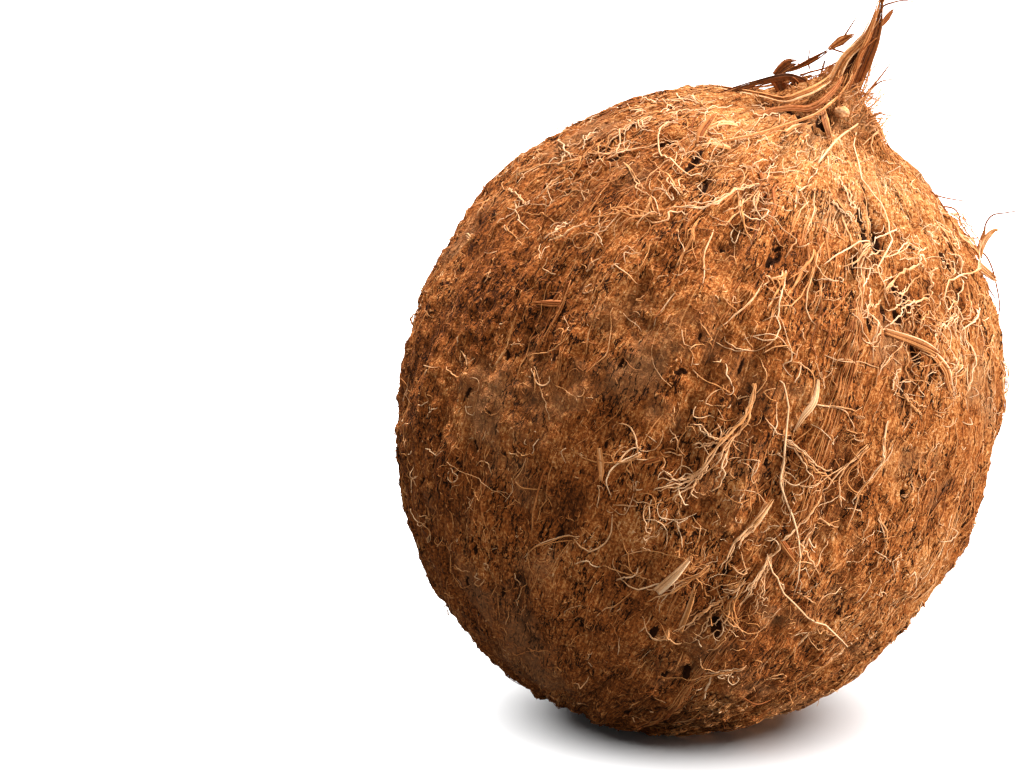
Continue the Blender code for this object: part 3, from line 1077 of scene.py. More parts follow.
    def sprays(self, sprays: int, steps: int = 16) -> Strands:
        """Bundles of fibre that leave the coat together and fan out."""
        ways = np.concatenate([self.in_tangles(int(sprays * 0.5)),
                               self.anywhere(sprays - int(sprays * 0.5))])
        sizes = self.rng.integers(3, 8, len(ways))
        whose = np.repeat(np.arange(len(ways)), sizes)
        count = len(whose)
        heading = self.rng.normal(0.0, 0.8, len(ways))[whose]
        length = self.rng.uniform(4.0, 13.0, len(ways))[whose] * self.rng.uniform(0.4, 1.3, count)
        fan = self.rng.normal(0.0, 0.11, (count, 1)) * np.linspace(0.0, 2.0, steps)
        shared = self.rng.normal(0.0, 0.10, (len(ways), steps))[whose]
        turns = shared + fan + self.rng.normal(0.0, 0.05, (count, steps))
        kinked = self.rng.random((count, steps)) < 0.05
        turns += kinked * self.rng.normal(0.0, 0.9, (count, steps))
        starts = unit(ways[whose] + self.rng.normal(0.0, 0.005, (count, 3)))
        routes = self.walk(starts, heading, length * MM, turns, 0.03)
        share = np.linspace(0.0, 1.0, steps + 1)
        lift = (self.rng.uniform(0.2, 1.0, count)[:, None] * np.sin(math.pi * share) ** 0.7) * MM
        width = self.rng.uniform(0.09, 0.18, count) * MM
        return self.strands(routes, lift, width, self.rng.normal(0.79, 0.08, count), tip=0.25)

    def wisps(self, steps: int = 16) -> Strands:
        """The loose fibres and bundles that have places of their own."""
        rng = self.rng
        parts = []
        for wisp in WISPS:
            line = unit(spline(self.form.ways(*np.array(wisp.places).T), steps))
            share = np.linspace(0.0, 1.0, steps + 1)
            side = unit(np.cross(np.gradient(line, axis=0), line))
            lane = rng.uniform(-1.0, 1.0, (wisp.fibres, 1)) * (wisp.fibres > 1)
            reach = rng.uniform(0.55, 1.0, (wisp.fibres, 1)) if wisp.fibres > 1 else np.ones((1, 1))
            run = reach * share
            low, routes = read_line(line, run * steps)
            apart = lane * (0.12 * wisp.fibres * wisp.width + wisp.fan * run**1.6)
            shake = rng.normal(0.0, 0.16, (wisp.fibres, steps + 1))
            routes = routes + side[low] * ((apart + shake) * MM / self.form.girth)[..., None]
            rise = np.sin(math.pi * (0.04 + 0.92 * run)) ** 0.7
            lift = wisp.height * rise * rng.uniform(0.6, 1.3, (wisp.fibres, 1)) * MM
            half = rng.uniform(0.75, 1.0, wisp.fibres) * 0.5 * wisp.width * MM
            tone = wisp.tone + rng.normal(0.0, 0.04, wisp.fibres)
            parts.append(self.strands(unit(routes), lift, half, tone, tip=0.3))
        return Strands.gather(parts)

    def seams(self, count: int, steps: int = 20) -> Strands:
        """Long fibres laid side by side along the three seams."""
        polar = self.rng.uniform(12.0, 140.0, count)
        near = self.rng.normal(0.0, 1.0, count) * (0.7 + 1.0 * self.rng.random(count))
        bearing = self.form.seam_bearing + SEAM_GAP * self.rng.integers(0, 3, count) + near
        ways = self.form.ways(polar, bearing)
        length = self.rng.uniform(14.0, 42.0, count) * MM
        turns = self.rng.normal(0.0, 0.03, (count, steps))
        routes = self.walk(ways, self.rng.normal(0.0, 0.05, count), length, turns, 0.10)
        return self.lay(routes, (0.05, 0.35), 0.5, 0.05, (0.09, 0.20), (0.58, 0.10))

    def hairs(self, count: int, steps: int = 10) -> Strands:
        """Fine stray hairs that stand off the coat and soften its outline."""
        ways = self.anywhere(count)
        ways = ways[ways[:, 2] > BLOSSOM_END]
        count = len(ways)
        heading = self.rng.uniform(-math.pi, math.pi, count)
        length = self.rng.uniform(1.5, 5.0, count) * MM
        turns = self.rng.normal(0.0, 0.20, (count, 1)) + self.rng.normal(0.0, 0.15, (count, steps))
        routes = self.walk(ways, heading, length, turns, 0.0)
        share = np.linspace(0.0, 1.0, steps + 1)
        lift = self.rng.gamma(1.6, 0.45, (count, 1)).clip(0.2, 3.0) * ease(share, -0.2, 1.1) * MM
        width = self.rng.uniform(0.05, 0.09, count) * MM
        return self.strands(routes, lift, width, self.rng.normal(0.76, 0.10, count), tip=0.3,
                            flatness=1.0)


@dataclass(frozen=True)
class Blade:
    """A flat bundle of fused fibres. Angles are degrees, and lengths are millimetres.

    Attributes:
        on: Its places over the coat: polar angle, bearing and height.
        over: The places after them: right, back and up from the neck's rim.
        face: The direction its flat side faces.
        widths: Full widths at the root, the middle and the tip.
        fibres: How many fibres make it.
        cup: How far its edges come forward, as a share of its width.
        tone: Tone of its middle and of its edges.
        ragged: Shortest fibre, as a share of the whole length.
        thickness: Half thickness of a fibre.
        fray: How far the fibres part at the tip.
    """

    on: tuple[tuple[float, float, float], ...]
    over: tuple[tuple[float, float, float], ...]
    face: tuple[float, float, float]
    widths: tuple[float, float, float]
    fibres: int = 24
    cup: float = 0.0
    tone: tuple[float, float] = (0.45, 0.65)
    ragged: float = 0.7
    thickness: float = 0.20
    fray: float = 0.35

    def strands(self, points: np.ndarray, rng: np.random.Generator, steps: int = 16) -> Strands:
        """Lay the blade's fibres side by side along a spine through its world points."""
        spine = spline(points, steps * 4)
        count = self.fibres
        lane = np.linspace(-1.0, 1.0, count) + rng.normal(0.0, 0.35 / count, count)
        reach = 1.0 - (1.0 - self.ragged) * rng.random(count) ** 1.5
        share = reach[:, None] * np.linspace(0.0, 1.0, steps + 1)
        low, centre = read_line(spine, share * steps * 4)
        along = unit(spine[low + 1] - spine[low])
        face = unit(np.array(self.face) - along * dot(np.array(self.face), along))
        side = np.cross(along, face)
        width = np.interp(share, (0.0, 0.5, 1.0), self.widths) * MM
        lanes = lane[:, None] + rng.normal(0.0, 0.05, (count, 1)) * np.sin(
            9.0 * share + rng.uniform(0.0, 6.0, (count, 1)))
        parted = rng.normal(0.0, self.fray * MM, (count, 1, 3)) * (share**3)[..., None]
        centre = (centre + side * (lanes * width / 2.0)[..., None] + parted
                  + face * (self.cup * lanes**2 * width)[..., None]
                  + face * rng.normal(0.0, 0.11 * MM, (count, 1, 1)))
        wide = width / count * rng.uniform(0.8, 1.5, (count, 1)) + 0.04 * MM
        taper = 1.0 - 0.75 * np.linspace(0.0, 1.0, steps + 1) ** 5
        thick = np.full(wide.shape, self.thickness * MM) * rng.uniform(0.7, 1.4, (count, 1))
        tone = self.tone[0] + (self.tone[1] - self.tone[0]) * np.abs(lanes) ** 1.5
        tone = tone + rng.normal(0.0, 0.08, (count, 1))
        centre[..., 2] = np.maximum(centre[..., 2], LOWEST_TUFT)
        return Strands(centre, face, wide * taper, thick * taper, tone)


TUFT_FACE = (0.35, -1.0, 0.05)
FRONT = (0.0, -1.0, 0.1)
UPWARD = (0.0, -0.8, 0.6)

# The upright blade, the arched strap, the flakes and the neck's torn edge.
TUFT_BLADES = (
    Blade((), ((2, -1.6, -5), (3, -1.5, -1), (4.4, -1.2, 2.6), (5.6, -0.9, 5.8), (7, -0.5, 9),
        (8, -0.1, 12.5), (8.5, 0.1, 15.6), (8.6, 0.1, 16.3)), TUFT_FACE, (3.4, 3, 0.6), 24, 0.28,
        (0.3, 0.62), 0.72, 0.2, 0.15),
    Blade((), ((-2.6, -3.2, -4.6), (-1.2, -2.8, -0.8), (0.6, -2.2, 3), (2.3, -1.7, 6),
        (4.9, -1, 8.3), (6.7, -0.5, 11.2), (7.8, -0.1, 14), (8.4, 0.1, 16)), (-0.2, -1, 0.1),
        (2, 1.3, 0.4), 11, 0.1, (0.62, 0.74), 0.5, 0.16, 0.3),
    Blade((), ((0.2, -0.6, -3.6), (1.4, -0.4, 0.8), (2.8, -0.2, 4.2), (4.6, 0, 7.4),
        (6.2, 0.1, 9.6)), TUFT_FACE, (4.2, 3.8, 1), 20, 0, (0.16, 0.32), 0.6),
    Blade((), ((8.5, 0.1, 15.8), (9.1, 0.1, 16.6), (10.6, 0.1, 16.5)), TUFT_FACE, (0.8, 0.7, 0.5),
        5, 0, (0.35, 0.45), 0.8, 0.14, 0.05),
    Blade((), ((-0.9, 0, 7.1), (0.6, 0, 8.2), (2.2, 0, 9.2), (4, 0, 10)), TUFT_FACE,
        (0.4, 1.3, 0.3), 6, 0, (0.5, 0.6), 0.9, 0.1, 0.1),
    Blade((), ((8.2, 0, 10.8), (9.3, 0, 12.2), (10.4, 0, 13.8), (11.2, 0, 14.7)), TUFT_FACE,
        (0.3, 0.8, 0.3), 4, 0, (0.42, 0.48), 0.9, 0.1, 0.1),
    Blade((), ((-8.6, 0.6, 3.2), (-6.6, 0.6, 3.8), (-4.4, 0.4, 5), (-2, 0.2, 6.3),
        (-0.6, 0.1, 7.2)), TUFT_FACE, (0.6, 0.6, 0.4), 5, 0, (0.42, 0.52), 0.8, 0.12, 0.2),
    Blade((), ((-10.6, 0.6, 2), (-9.2, 0.7, 3.5), (-7.6, 0.7, 4.4), (-6, 0.7, 4.5)),
        (-0.3, -1, 0.3), (1.5, 2, 0.7), 14, 0.12, (0.4, 0.54), 0.6, 0.14, 0.3),
    Blade((), ((-2.6, -0.8, -0.8), (-5.2, -0.6, 1.1), (-7.6, -0.5, 2.1), (-9.8, -0.4, 2.1),
        (-13.4, -0.2, 1.2), (-17.6, -0.2, 0), (-23, -0.7, -2)), (0, -0.8, 0.6), (0.9, 1.3, 0.4),
        14, -0.2, (0.3, 0.42), 0.85, 0.2, 0.3),
    Blade((), ((-22.5, -0.6, -2.4), (-18.5, -0.5, -1.3), (-15.4, -0.3, -0.2), (-12.8, -0.2, 0.8)),
        (0, -0.9, 0.4), (1.2, 1.9, 0.6), 13, 0, (0.36, 0.52), 0.5, 0.14, 0.4),
    Blade((), ((-21.5, -1.4, -1.9), (-17.2, -1.8, -2.6), (-12.6, -2, -2.7), (-7.6, -2.2, -2.6),
        (-4, -2.4, -1.8)), (0, -0.7, 0.7), (0.8, 1.1, 0.9), 8, 0, (0.64, 0.74), 0.7, 0.16, 0.4),
    Blade((), ((-10.6, -0.3, 1.6), (-9.4, -0.6, -0.4), (-8, -1.2, -2.4)), (0, -1, 0.2),
        (1.8, 1.6, 2), 9, 0, (0.36, 0.5), 0.7, 0.12, 0.5),
    Blade((), ((-7.4, -0.4, 1.8), (-5.6, -0.8, -0.2), (-4.2, -1.4, -2.4)), (0, -1, 0.2),
        (1.3, 1.6, 2), 8, 0, (0.34, 0.48), 0.7, 0.12, 0.6),
    Blade(((19, -104, 0.2), (13, -66.5, 0.7), (11.5, -46.5, 0.9), (9, -39.5, 1.1), (6, -34, 1.3)),
        ((-0.6, -1.9, 2), (2.2, -1.5, 5.3), (5.7, -0.9, 8.9), (8, -0.4, 12.4)), (0, -1, 0.4),
        (0.6, 1.1, 0.4), 8, 0.1, (0.62, 0.74), 0.65, 0.15, 0.4),
    Blade(((19.5, -44, 0.2), (15.5, -41.5, 0.6), (12.5, -32, 0.8), (10, -23.5, 1), (7.5, -14, 1.3),
        (4, -6, 1.5)), ((1.6, -1.9, 3), (3.6, -1.6, 6.4)), (0, -1, 0.4), (0.6, 1.1, 0.4), 7, 0.1,
        (0.5, 0.64), 0.7, 0.15, 0.4),
    Blade(((34.5, -41, 0.2), (26, -32, 0.5), (19, -25, 0.7), (12.5, -14.5, 0.9), (9, -8, 1.2),
        (5.5, 0, 1.5), (2.5, 20, 1.6)), ((2.9, -1.9, 3.6), (5, -1.5, 7.5)), (0, -1, 0.4),
        (0.2, 0.3, 0.15), 3, 0.1, (0.6, 0.66), 0.75, 0.1, 0.3),
    Blade((), ((0.4, 2.6, -3.6), (1.6, 2.9, 0.4), (3.2, 2.3, 4.2), (5, 1.4, 7.6),
        (6.8, 0.6, 10.4)), (1, 0.3, 0), (3.6, 3, 0.5), 18, 0.1, (0.34, 0.56), 0.6, 0.18, 0.4),
    Blade((), ((4.6, -0.4, -4), (4.6, 0.2, -0.4), (5.2, 0.8, 3), (6.4, 1.2, 6)), (1, -0.4, 0),
        (3.2, 2.4, 0.6), 14, 0.1, (0.36, 0.58), 0.5, 0.18, 0.5),
    Blade((), ((-2.4, 2.2, -3), (-1.2, 3, 0.2), (0.4, 3.6, 2.8), (2.2, 4, 4.8)), (0.2, 1, 0.2),
        (3, 2.6, 0.8), 13, 0.1, (0.38, 0.6), 0.5, 0.16, 0.6),
    Blade(((9, -12, 0.8), (12.5, -5, 1), (17.5, 2, 0.2)), (), (0.1, -1, 0.2), (0.6, 1, 0.5), 6,
        0.2, (0.46, 0.58), 0.8, 0.14, 0.2),
    Blade(((20, -22, 0.1), (17, -20, 0.7), (14, -12, 0.7)), (), (0, -0.8, 0.6), (0.8, 1.6, 0.6), 7,
        0, (0.7, 0.8), 0.6, 0.14, 0.3),
)

# Long loose fibres: their places over the coat, then their places by the neck.
STRAYS = (
    ((), ((8.6, 0, 14), (9.2, 0, 15.2), (10.8, 0, 15.8), (12.8, 0.2, 16.2), (14.8, 0.4, 15.9))),
    ((), ((1.6, 0, 9), (2.6, 0, 10.6), (4.1, 0, 13))),
    ((), ((-4.4, 0.4, 3.4), (-4.6, 0.4, 5), (-4.4, 0.4, 7))),
    ((), ((-0.2, 0, 7.2), (2.2, 0, 6.5), (4.2, 0, 7), (4.7, 0, 8.6))),
    ((), ((-0.1, -4, -4.6), (1.4, -3.4, -0.8), (3.8, -2.6, 3), (5, -2, 6.8), (8, -0.8, 9.4))),
    ((), ((5.2, 0, -3), (6, 0, -1.8), (8.6, 0, 0.9), (11.1, 0, 1.5))),
    ((), ((6.4, 0, -1), (8.8, 0, 1.9), (10.6, 0, 4.4))),
    ((), ((4.4, -1.4, -6.8), (7, -1, -5.8), (9.4, -0.8, -5.7))),
    ((), ((16.2, 0, -18.4), (18.8, 0, -19.9), (21.4, 0, -20.8), (25.5, 0, -21.5))),
    ((), ((16.6, 0, -19), (19.4, 0, -20), (23.4, 0, -25.7), (26.5, 0, -28.6), (28.4, 0, -31.2),
        (28.4, 0, -33.6))),
    ((), ((20.4, 0, -22.4), (23.4, 0, -23), (24.6, 0, -25.6), (23.8, 0, -27.4))),
    ((), ((28.4, 0, -31.6), (28.9, 0, -28.6), (29.3, 0, -25.8), (30.6, 0, -24.1), (32.9, 0, -23.7),
        (35.3, 0, -23.3))),
    ((), ((28.3, 0, -31.4), (29.5, 0, -28.5), (30.6, 0, -27.3), (31.4, 0, -26.8))),
    ((), ((26.1, 0, -28.5), (28.1, 0, -28.5))),
    ((), ((28.5, 0, -31), (29.7, 0, -32.1), (30.8, 0, -34.4), (31.7, 0, -37.7), (32.4, 0, -41.5),
        (32, 0, -44.7), (31.4, 0, -46.6))),
    ((), ((27.6, 0, -33), (29.4, 0, -35), (32, 0, -36.8))),
    ((), ((29, 0, -36), (30.4, 0, -38.4), (31.6, 0, -40.2))),
    (((134, 33, 0.2), (133, 36, 1.2), (132, 40, 1.8)), ()),
    ((), ((-6.2, 0.3, 2.2), (-4, 0.2, 2.9), (-1.5, 0, 3.6), (0.4, -0.2, 4.6), (1.8, -0.4, 5.6))),
    ((), ((-1.6, 0.1, 5), (-2, 0, 3.4), (-2.6, -0.2, 1.6), (-3, -0.6, -0.2))),
    ((), ((-6.4, 0.3, 2), (-4.6, 0.1, 1.2), (-3.2, -0.2, 0), (-2, -0.6, -1.4))),
    ((), ((-8, 0.4, 3), (-5.5, 0.4, 3.9), (-3, 0.2, 5.2), (-1, 0.1, 6.8))),
    (((26, -2.5, 0.3), (17, 5, 1.3), (11.5, 19, 1.6)), ((5, -3, -6.2), (8.3, -1.5, -6.2))),
)

# The large flat chips of husk.
HUSK_CHIPS = (
    Blade(((115, -1.3, 0.2), (110, 0.2, 0.8), (105.5, 1.6, 0.9)), (), FRONT, (1.15, 0.95, 0.4), 4,
        0, (0.84, 0.84), 0.98, 0.14, 0),
    Blade(((121.5, 6.6, 0.2), (116, 5.6, 0.8), (110, 4.4, 0.9)), (), FRONT, (0.8, 0.6, 0.25), 4, 0,
        (0.74, 0.8), 0.8, 0.14, 0.1),
    Blade(((99, 8.8, 0.2), (95, 9.7, 0.9), (90.5, 10.8, 0.9)), (), FRONT, (0.4, 0.8, 0.4), 4, 0,
        (0.82, 0.82), 0.9, 0.14, 0.1),
    Blade(((68, 11, 0.1), (72, 11.3, 0.9), (75.5, 10.2, 0.9), (78.5, 10, 0.2)), (), FRONT,
        (0.4, 0.8, 0.3), 5, 0, (0.78, 0.84), 0.85, 0.16, 0.1),
    Blade(((24, -42.5, 0.2), (27, -45.5, 0.5), (31, -48, 0.2)), (), UPWARD, (0.4, 0.7, 0.5), 4, 0,
        (0.74, 0.8), 0.85, 0.1, 0.1),
    Blade(((30.5, -34, 0.2), (32.5, -37.5, 0.5), (35, -41.5, 0.2)), (), UPWARD, (0.4, 0.8, 0.6), 4,
        0, (0.74, 0.8), 0.85, 0.1, 0.1),
    Blade(((34, -42, 0.1), (32, -44, 1.2), (27.5, -47, 2.6)), (), (0.3, -1, 0.3), (0.7, 1.1, 0.6),
        4, 0, (0.46, 0.52), 0.9, 0.14, 0.1),
    Blade(((55.5, 24, 0.3), (56, 30, 1), (57, 35.5, 1), (57.6, 42.5, 0.3)), (), (0.5, -1, 0.2),
        (0.8, 1.5, 0.7), 9, 0, (0.66, 0.76), 0.7, 0.16, 0.3),
    Blade(((57, 35, 0.5), (59.5, 40.5, 0.9), (62, 43.5, 0.8), (65, 45.5, 0.2)), (), (0.5, -1, 0.2),
        (1, 1.3, 0.4), 8, 0, (0.64, 0.74), 0.6, 0.16, 0.3),
    Blade((), ((16, -1.5, -20), (20.6, -1.2, -23.6), (25.4, -0.8, -28.8), (28, -0.4, -32),
        (28.2, -0.3, -34.4)), (0.5, -1, 0.3), (0.8, 1.4, 0.9), 10, 0, (0.64, 0.76), 0.6, 0.18, 0.4),
    Blade((), ((27, -0.4, -32.8), (29.2, -0.3, -34.6), (31.8, -0.2, -36.6)), (0.3, -1, 0.3),
        (0.9, 1, 0.7), 5, 0, (0.64, 0.72), 0.85, 0.16, 0.2),
    Blade((), ((28.2, -0.2, -31.6), (29.2, -0.2, -29), (30.4, -0.2, -27.4), (31.4, -0.2, -26.8)),
        (0.2, -1, 0.2), (0.7, 0.7, 0.7), 4, 0, (0.68, 0.76), 0.9, 0.14, 0.3),
    Blade((), ((28.2, -0.2, -31.8), (28.6, -0.2, -29), (29.2, -0.2, -26.4)), (0.2, -1, 0.2),
        (0.8, 0.6, 0.3), 4, 0, (0.68, 0.76), 0.8, 0.14, 0.2),
)


def wobble(rng: np.random.Generator, count: int, share: np.ndarray, size: float,
           waves: tuple[float, float]) -> np.ndarray:
    """Wavy offsets for fibres, each with its own number of waves, in the unit of size."""
    pace = rng.uniform(*waves, (count, 1, 1))
    return size * np.sin(pace * share + rng.uniform(0.0, 6.0, (count, 1, 3)))


@dataclass
class Tuft:
    """The stem's torn fibre tuft, and the husk slivers left on the coat."""

    form: NutForm
    rng: np.random.Generator = field(default_factory=lambda: np.random.default_rng(77))

    def __post_init__(self) -> None:
        """Find the middle of the neck's torn rim."""
        crown = self.form.to_world(self.form.skin(np.array([[0.0, 0.0, 1.0]])))[0]
        self.top = crown - np.array([1.1, 0.0, 1.2]) * MM

    def track(self, on: tuple, over: tuple = ()) -> np.ndarray:
        """World points at some places over the coat and then at some by the neck's rim."""
        polar, bearing, height = np.array(on, float).reshape(-1, 3).T
        coat = self.form.place(self.form.ways(polar, bearing), height * MM)
        return np.concatenate([coat, self.top + np.array(over, float).reshape(-1, 3) * MM])

    def fused(self, parts: list[Blade]) -> Strands:
        """The fibres of several blades."""
        return Strands.gather([
            part.strands(self.track(part.on, part.over), self.rng) for part in parts])

    def blades(self) -> Strands:
        """The placed blades, and a collar of laid straps round the back of the neck."""
        parts = list(TUFT_BLADES)
        for bearing in (75.0, 120.0, 155.0, 190.0, 225.0, 255.0):
            end = self.rng.uniform(14.0, 20.0)
            places = ((4.0, bearing + 10.0, 0.3), (8.0, bearing + 4.0, 0.5),
                      (12.0, bearing, 0.4), (end, bearing - 5.0, 0.1))
            parts.append(Blade(places, (), (0.0, 0.0, 1.0), (1.0, 1.5, 0.6), 11, 0.05,
                               (0.50, 0.66), 0.45, 0.14, 0.3))
        return self.fused(parts)

    def net(self, count: int = 70, steps: int = 16) -> Strands:
        """Thin fibres strung between the blade, the arch and the neck."""
        rng = self.rng
        low = count // 2
        starts = np.array([-9.6, -0.8, 1.0]) + rng.random((count, 1)) * np.array([6.6, -0.6, -0.6])
        ends = starts + np.array([2.6, -0.8, -3.0]) * rng.uniform(0.5, 1.1, (count, 1))
        high = np.arange(count) >= low
        sail = rng.random((count, 1))
        starts[high] = (np.array([-6.4, -0.6, 0.8]) + sail * np.array([4.6, -0.8, -2.2]))[high]
        ends[high] = (np.array([-1.0, -1.2, 4.4]) + sail * np.array([2.6, -0.4, -1.2]))[high]
        starts = starts + rng.normal(0.0, 0.4, (count, 3))
        ends = ends + rng.normal(0.0, 0.6, (count, 3))
        share = np.linspace(0.0, 1.0, steps + 1)[:, None]
        sag = rng.normal(0.0, 0.7, (count, 1, 3)) * np.sin(math.pi * share)
        lines = starts[:, None] * (1.0 - share) + ends[:, None] * share + sag
        lines = lines + wobble(rng, count, share, 0.15, (6.0, 18.0))
        tone = np.where(high, rng.normal(0.64, 0.10, count), rng.normal(0.46, 0.12, count))
        return self.loose(lines, rng.uniform(0.06, 0.17, count), tone)

    def brush(self, count: int = 300, steps: int = 16) -> Strands:
        """The brush of broken fibres round the neck, longest on its right side."""
        rng = self.rng
        polar = np.abs(rng.normal(5.5, 3.0, count)) + 0.8
        bearing = np.where(rng.random(count) < 0.6, rng.normal(60.0, 45.0, count),
                           rng.uniform(0.0, 360.0, count))
        ways = self.form.ways(polar, bearing)
        roots = (self.form.place(ways, -0.3 * MM) - self.top) / MM
        out = self.form.leaned(self.form.normals(ways))
        right = ease(np.cos(np.radians(bearing - 70.0)), -0.3, 1.0)
        length = rng.uniform(0.9, 2.4, count) + right * rng.gamma(1.5, 0.9, count)
        lean = self.form.leaned(np.array([[0.0, 0.0, 1.0]]))
        aim = out + lean * rng.uniform(-0.3, 1.0, (count, 1)) + rng.normal(0.0, 0.5, (count, 3))
        share = np.linspace(0.0, 1.0, steps + 1)[:, None]
        swing = rng.normal(0.0, 0.35, (count, 1, 3)) * share**2
        path = unit(aim)[:, None] * share + swing
        path = path + wobble(rng, count, share, 0.12, (3.0, 9.0)) * share
        lines = roots[:, None] + length[:, None, None] * path
        return self.loose(lines, rng.uniform(0.08, 0.15, count), rng.normal(0.72, 0.10, count))

    def strays(self, steps: int = 16) -> Strands:
        """The few long fibres that stand right out of the coat."""
        routes = np.stack([spline(self.track(*stray), steps) for stray in STRAYS])
        tones = self.rng.normal(0.45, 0.05, len(STRAYS))
        tones[-1] = PALE_STRAY
        return self.loose((routes - self.top) / MM, np.full(len(STRAYS), 0.20), tones)

    def slivers(self, count: int = 16) -> Strands:
        """Flat chips of husk, the large ones placed and the small ones strewn."""
        rng = self.rng
        parts = list(HUSK_CHIPS)
        for _ in range(count):
            polar, bearing = rng.uniform(18.0, 140.0), rng.uniform(0.0, 360.0)
            size, swing = rng.uniform(2.0, 6.0), rng.normal(0.0, 4.0)
            tone = rng.uniform(0.52, 0.74)
            end = (polar + size, bearing + swing, rng.uniform(0.0, 0.6))
            middle = (polar + size * 0.5, bearing + swing * 0.5, 0.40)
            way = self.form.ways(np.array([polar]), np.array([bearing]))
            face = self.form.leaned(self.form.normals(way))[0]
            widths = (rng.uniform(0.3, 0.6), rng.uniform(0.5, 1.0), 0.3)
            parts.append(Blade(((polar, bearing, 0.0), middle, end), (), tuple(face), widths, 4,
                               0.0, (tone, tone), 0.75, 0.12, 0.1))
        return self.fused(parts)

    def loose(self, lines: np.ndarray, half_width: np.ndarray, tone: np.ndarray) -> Strands:
        """Round fibres along millimetre lines from the neck's top."""
        centres = self.top + lines * MM
        centres[..., 2] = np.maximum(centres[..., 2], LOWEST_TUFT)
        ups = np.broadcast_to(np.array([0.31, -0.87, 0.38]), centres.shape)
        share = np.linspace(0.0, 1.0, centres.shape[1])
        wide = half_width[:, None] * MM * (1.0 - 0.55 * share**2)
        return Strands(centres, ups, wide, wide, np.repeat(tone[:, None], len(share), axis=1))

    def knob(self) -> bpy.types.Object:
        """The pale stub of the stem on the front of the neck."""
        bm = bmesh.new()
        bmesh.ops.create_icosphere(bm, subdivisions=4, radius=1.0)
        knob = bm_object("stem_stub", bm)
        ways = mesh_points(knob.data)
        lumps = 1.0 + 0.22 * Hills(51)(ways * 2.2) + 0.12 * Hills(52)(ways * 5.0)
        centre = self.track(((8.2, 9.5, 0.5),))[0]
        points = centre + ways * lumps[:, None] * np.array([1.4, 1.1, 1.05]) * MM
        set_points(knob.data, points)
        set_attribute(knob.data, "tone", 0.80 + 0.12 * Hills(53)(ways * 3.0))
        return knob


@dataclass(frozen=True)
class Lamp:
    """A far soft lamp. Turn is degrees from the front to the right, and tilt from overhead."""

    name: str
    power: float
    softness: float
    tilt: float
    turn: float
    tint: tuple[float, float, float] = (1.0, 1.0, 1.0)

    def hang(self) -> bpy.types.Object:
        """Put the lamp in the scene."""
        light = bpy.data.lights.new(self.name, "SUN")
        light.energy = self.power
        light.color = self.tint
        light.angle = math.radians(self.softness)
        lamp = bpy.data.objects.new(self.name, light)
        lamp.rotation_euler = (math.radians(self.tilt), 0.0, math.radians(self.turn))
        bpy.context.scene.collection.objects.link(lamp)
        return lamp


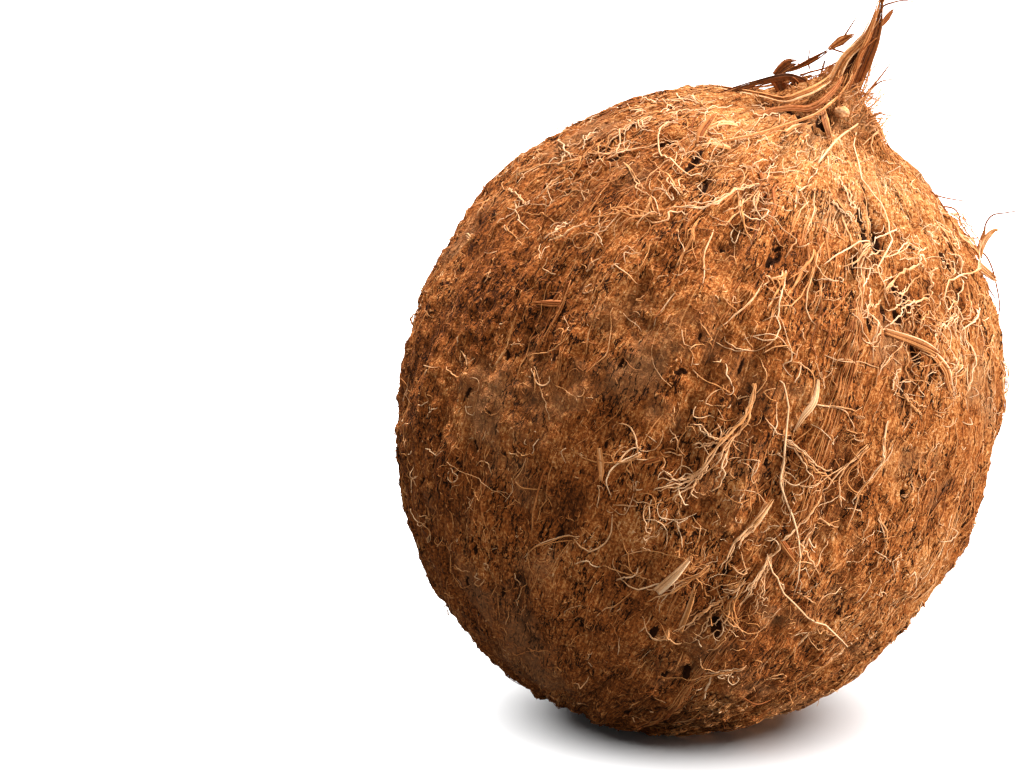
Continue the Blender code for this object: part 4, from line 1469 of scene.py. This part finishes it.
@dataclass
class Studio:
    """The plain pale floor, the soft lights and the camera."""

    middle: np.ndarray
    distance: float = 0.65
    elevation: float = 12.0
    lens: float = 120.0
    aside: float = 0.0359
    lower: float = 0.0028
    room: float = 0.14
    bounce: float = 0.10
    key: Lamp = Lamp("key", 9.4, 22.0, 17.0, 196.0)
    side: Lamp = Lamp("side", 6.8, 22.0, 80.0, 78.0)
    back: Lamp = Lamp("back", 2.0, 40.0, 76.0, 160.0)
    front: Lamp = Lamp("front", 1.6, 50.0, 56.0, 5.0, (1.0, 0.93, 0.85))
    overhead: Lamp = Lamp("overhead", 12.0, 110.0, 0.0, 0.0)

    def floor(self) -> bpy.types.Object:
        """A wide round floor, flush with the resting level."""
        bm = bmesh.new()
        bmesh.ops.create_circle(bm, cap_ends=True, segments=96, radius=8.0)
        floor = bm_object("studio_floor", bm)
        paper = bpy.data.materials.new("pale_paper")
        paper.use_nodes = True
        recipe = Recipe(paper.node_tree)
        seen = recipe.add("LightPath").outputs[CAMERA_RAY]
        paleness = recipe.add("MapRange", {"Value": seen, "To Min": self.bounce, "To Max": 0.9})
        recipe.feed(paper.node_tree.nodes["Principled BSDF"], {
            "Base Color": paleness.outputs["Result"], "Roughness": 0.9,
            "Specular IOR Level": 0.1})
        floor.data.materials.append(paper)
        return floor

    def lights(self, floor: bpy.types.Object) -> None:
        """Light the nut with four lamps, the floor from overhead, and both from a dim room."""
        ground = bpy.data.collections.new("ground")
        ground.objects.link(floor)
        nut = bpy.data.collections.new("nut")
        for thing in bpy.context.scene.objects:
            if thing.type == "MESH" and thing != floor:
                nut.objects.link(thing)
        self.overhead.hang().light_linking.receiver_collection = ground
        for lamp in (self.key, self.side, self.back, self.front):
            lamp.hang().light_linking.receiver_collection = nut
        world = bpy.data.worlds.new("pale_room")
        bpy.context.scene.world = world
        world.use_nodes = True
        recipe = Recipe(world.node_tree)
        seen = recipe.add("LightPath").outputs[CAMERA_RAY]
        strength = recipe.add("MapRange", {"Value": seen, "To Min": self.room, "To Max": 1.0})
        recipe.feed(world.node_tree.nodes["Background"], {
            "Color": (1.0, 1.0, 1.0, 1.0), "Strength": strength.outputs["Result"]})

    def camera(self) -> None:
        """The camera, level with the nut's upper half and looking slightly down."""
        tilt = math.radians(self.elevation)
        up = np.array([0.0, math.sin(tilt), math.cos(tilt)])
        ahead = np.array([0.0, math.cos(tilt), -math.sin(tilt)])
        place = self.middle - self.distance * ahead - self.aside * np.array([1.0, 0.0, 0.0])
        place = place + self.lower * up
        lens = bpy.data.cameras.new("camera")
        lens.lens = self.lens
        lens.sensor_width = 36.0
        lens.clip_start = 0.01
        camera = bpy.data.objects.new("camera", lens)
        camera.location = Vector(place)
        camera.rotation_euler = (math.radians(90.0 - self.elevation), 0.0, 0.0)
        bpy.context.scene.collection.objects.link(camera)
        bpy.context.scene.camera = camera
        bpy.context.scene.view_settings.view_transform = "Standard"


def main() -> None:
    """Build the coconut, report each piece and set the studio up."""
    logging.basicConfig(level=logging.INFO, format="%(name)s: %(message)s")
    low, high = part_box(NODE)
    form = NutForm((high.y - low.y) / 2.0, tuple(low), pits=torn_pits())

    colour = CoirColours().group()
    felt = FeltFinish("felted_coir").material(colour)
    matted = FibreFinish("matted_coir", speckle=0.45, patches=0.45).material(colour)
    loose = FibreFinish("loose_coir").material(colour)

    settle(HuskSkin(form).build(), felt)
    coat = Coat(form)
    for part in range(2):
        settle(coat.felt(7500).build(f"felted_bits_{part + 1}", 3), matted)
    settle(coat.combed(1700).build("combed_fibres", 3), matted)
    settle(coat.curls(1200).build("curled_fibres", 3), loose)
    settle(Strands.gather([coat.sprays(60), coat.wisps()]).build("fibre_sprays", 4), loose)
    settle(coat.seams(330).build("seam_fibres", 3), matted)
    settle(coat.hairs(700).build("stray_hairs", 3), loose)
    tuft = Tuft(form)
    settle(tuft.blades().build("tuft_blades", 5), matted)
    settle(Strands.gather([tuft.net(), tuft.brush(), tuft.strays()]).build("tuft_fibres", 4), loose)
    settle(tuft.slivers().build("husk_slivers", 4), loose)
    settle(tuft.knob(), matted)

    studio = Studio(form.middle)
    studio.lights(studio.floor())
    studio.camera()


if __name__ == "__main__":
    main()
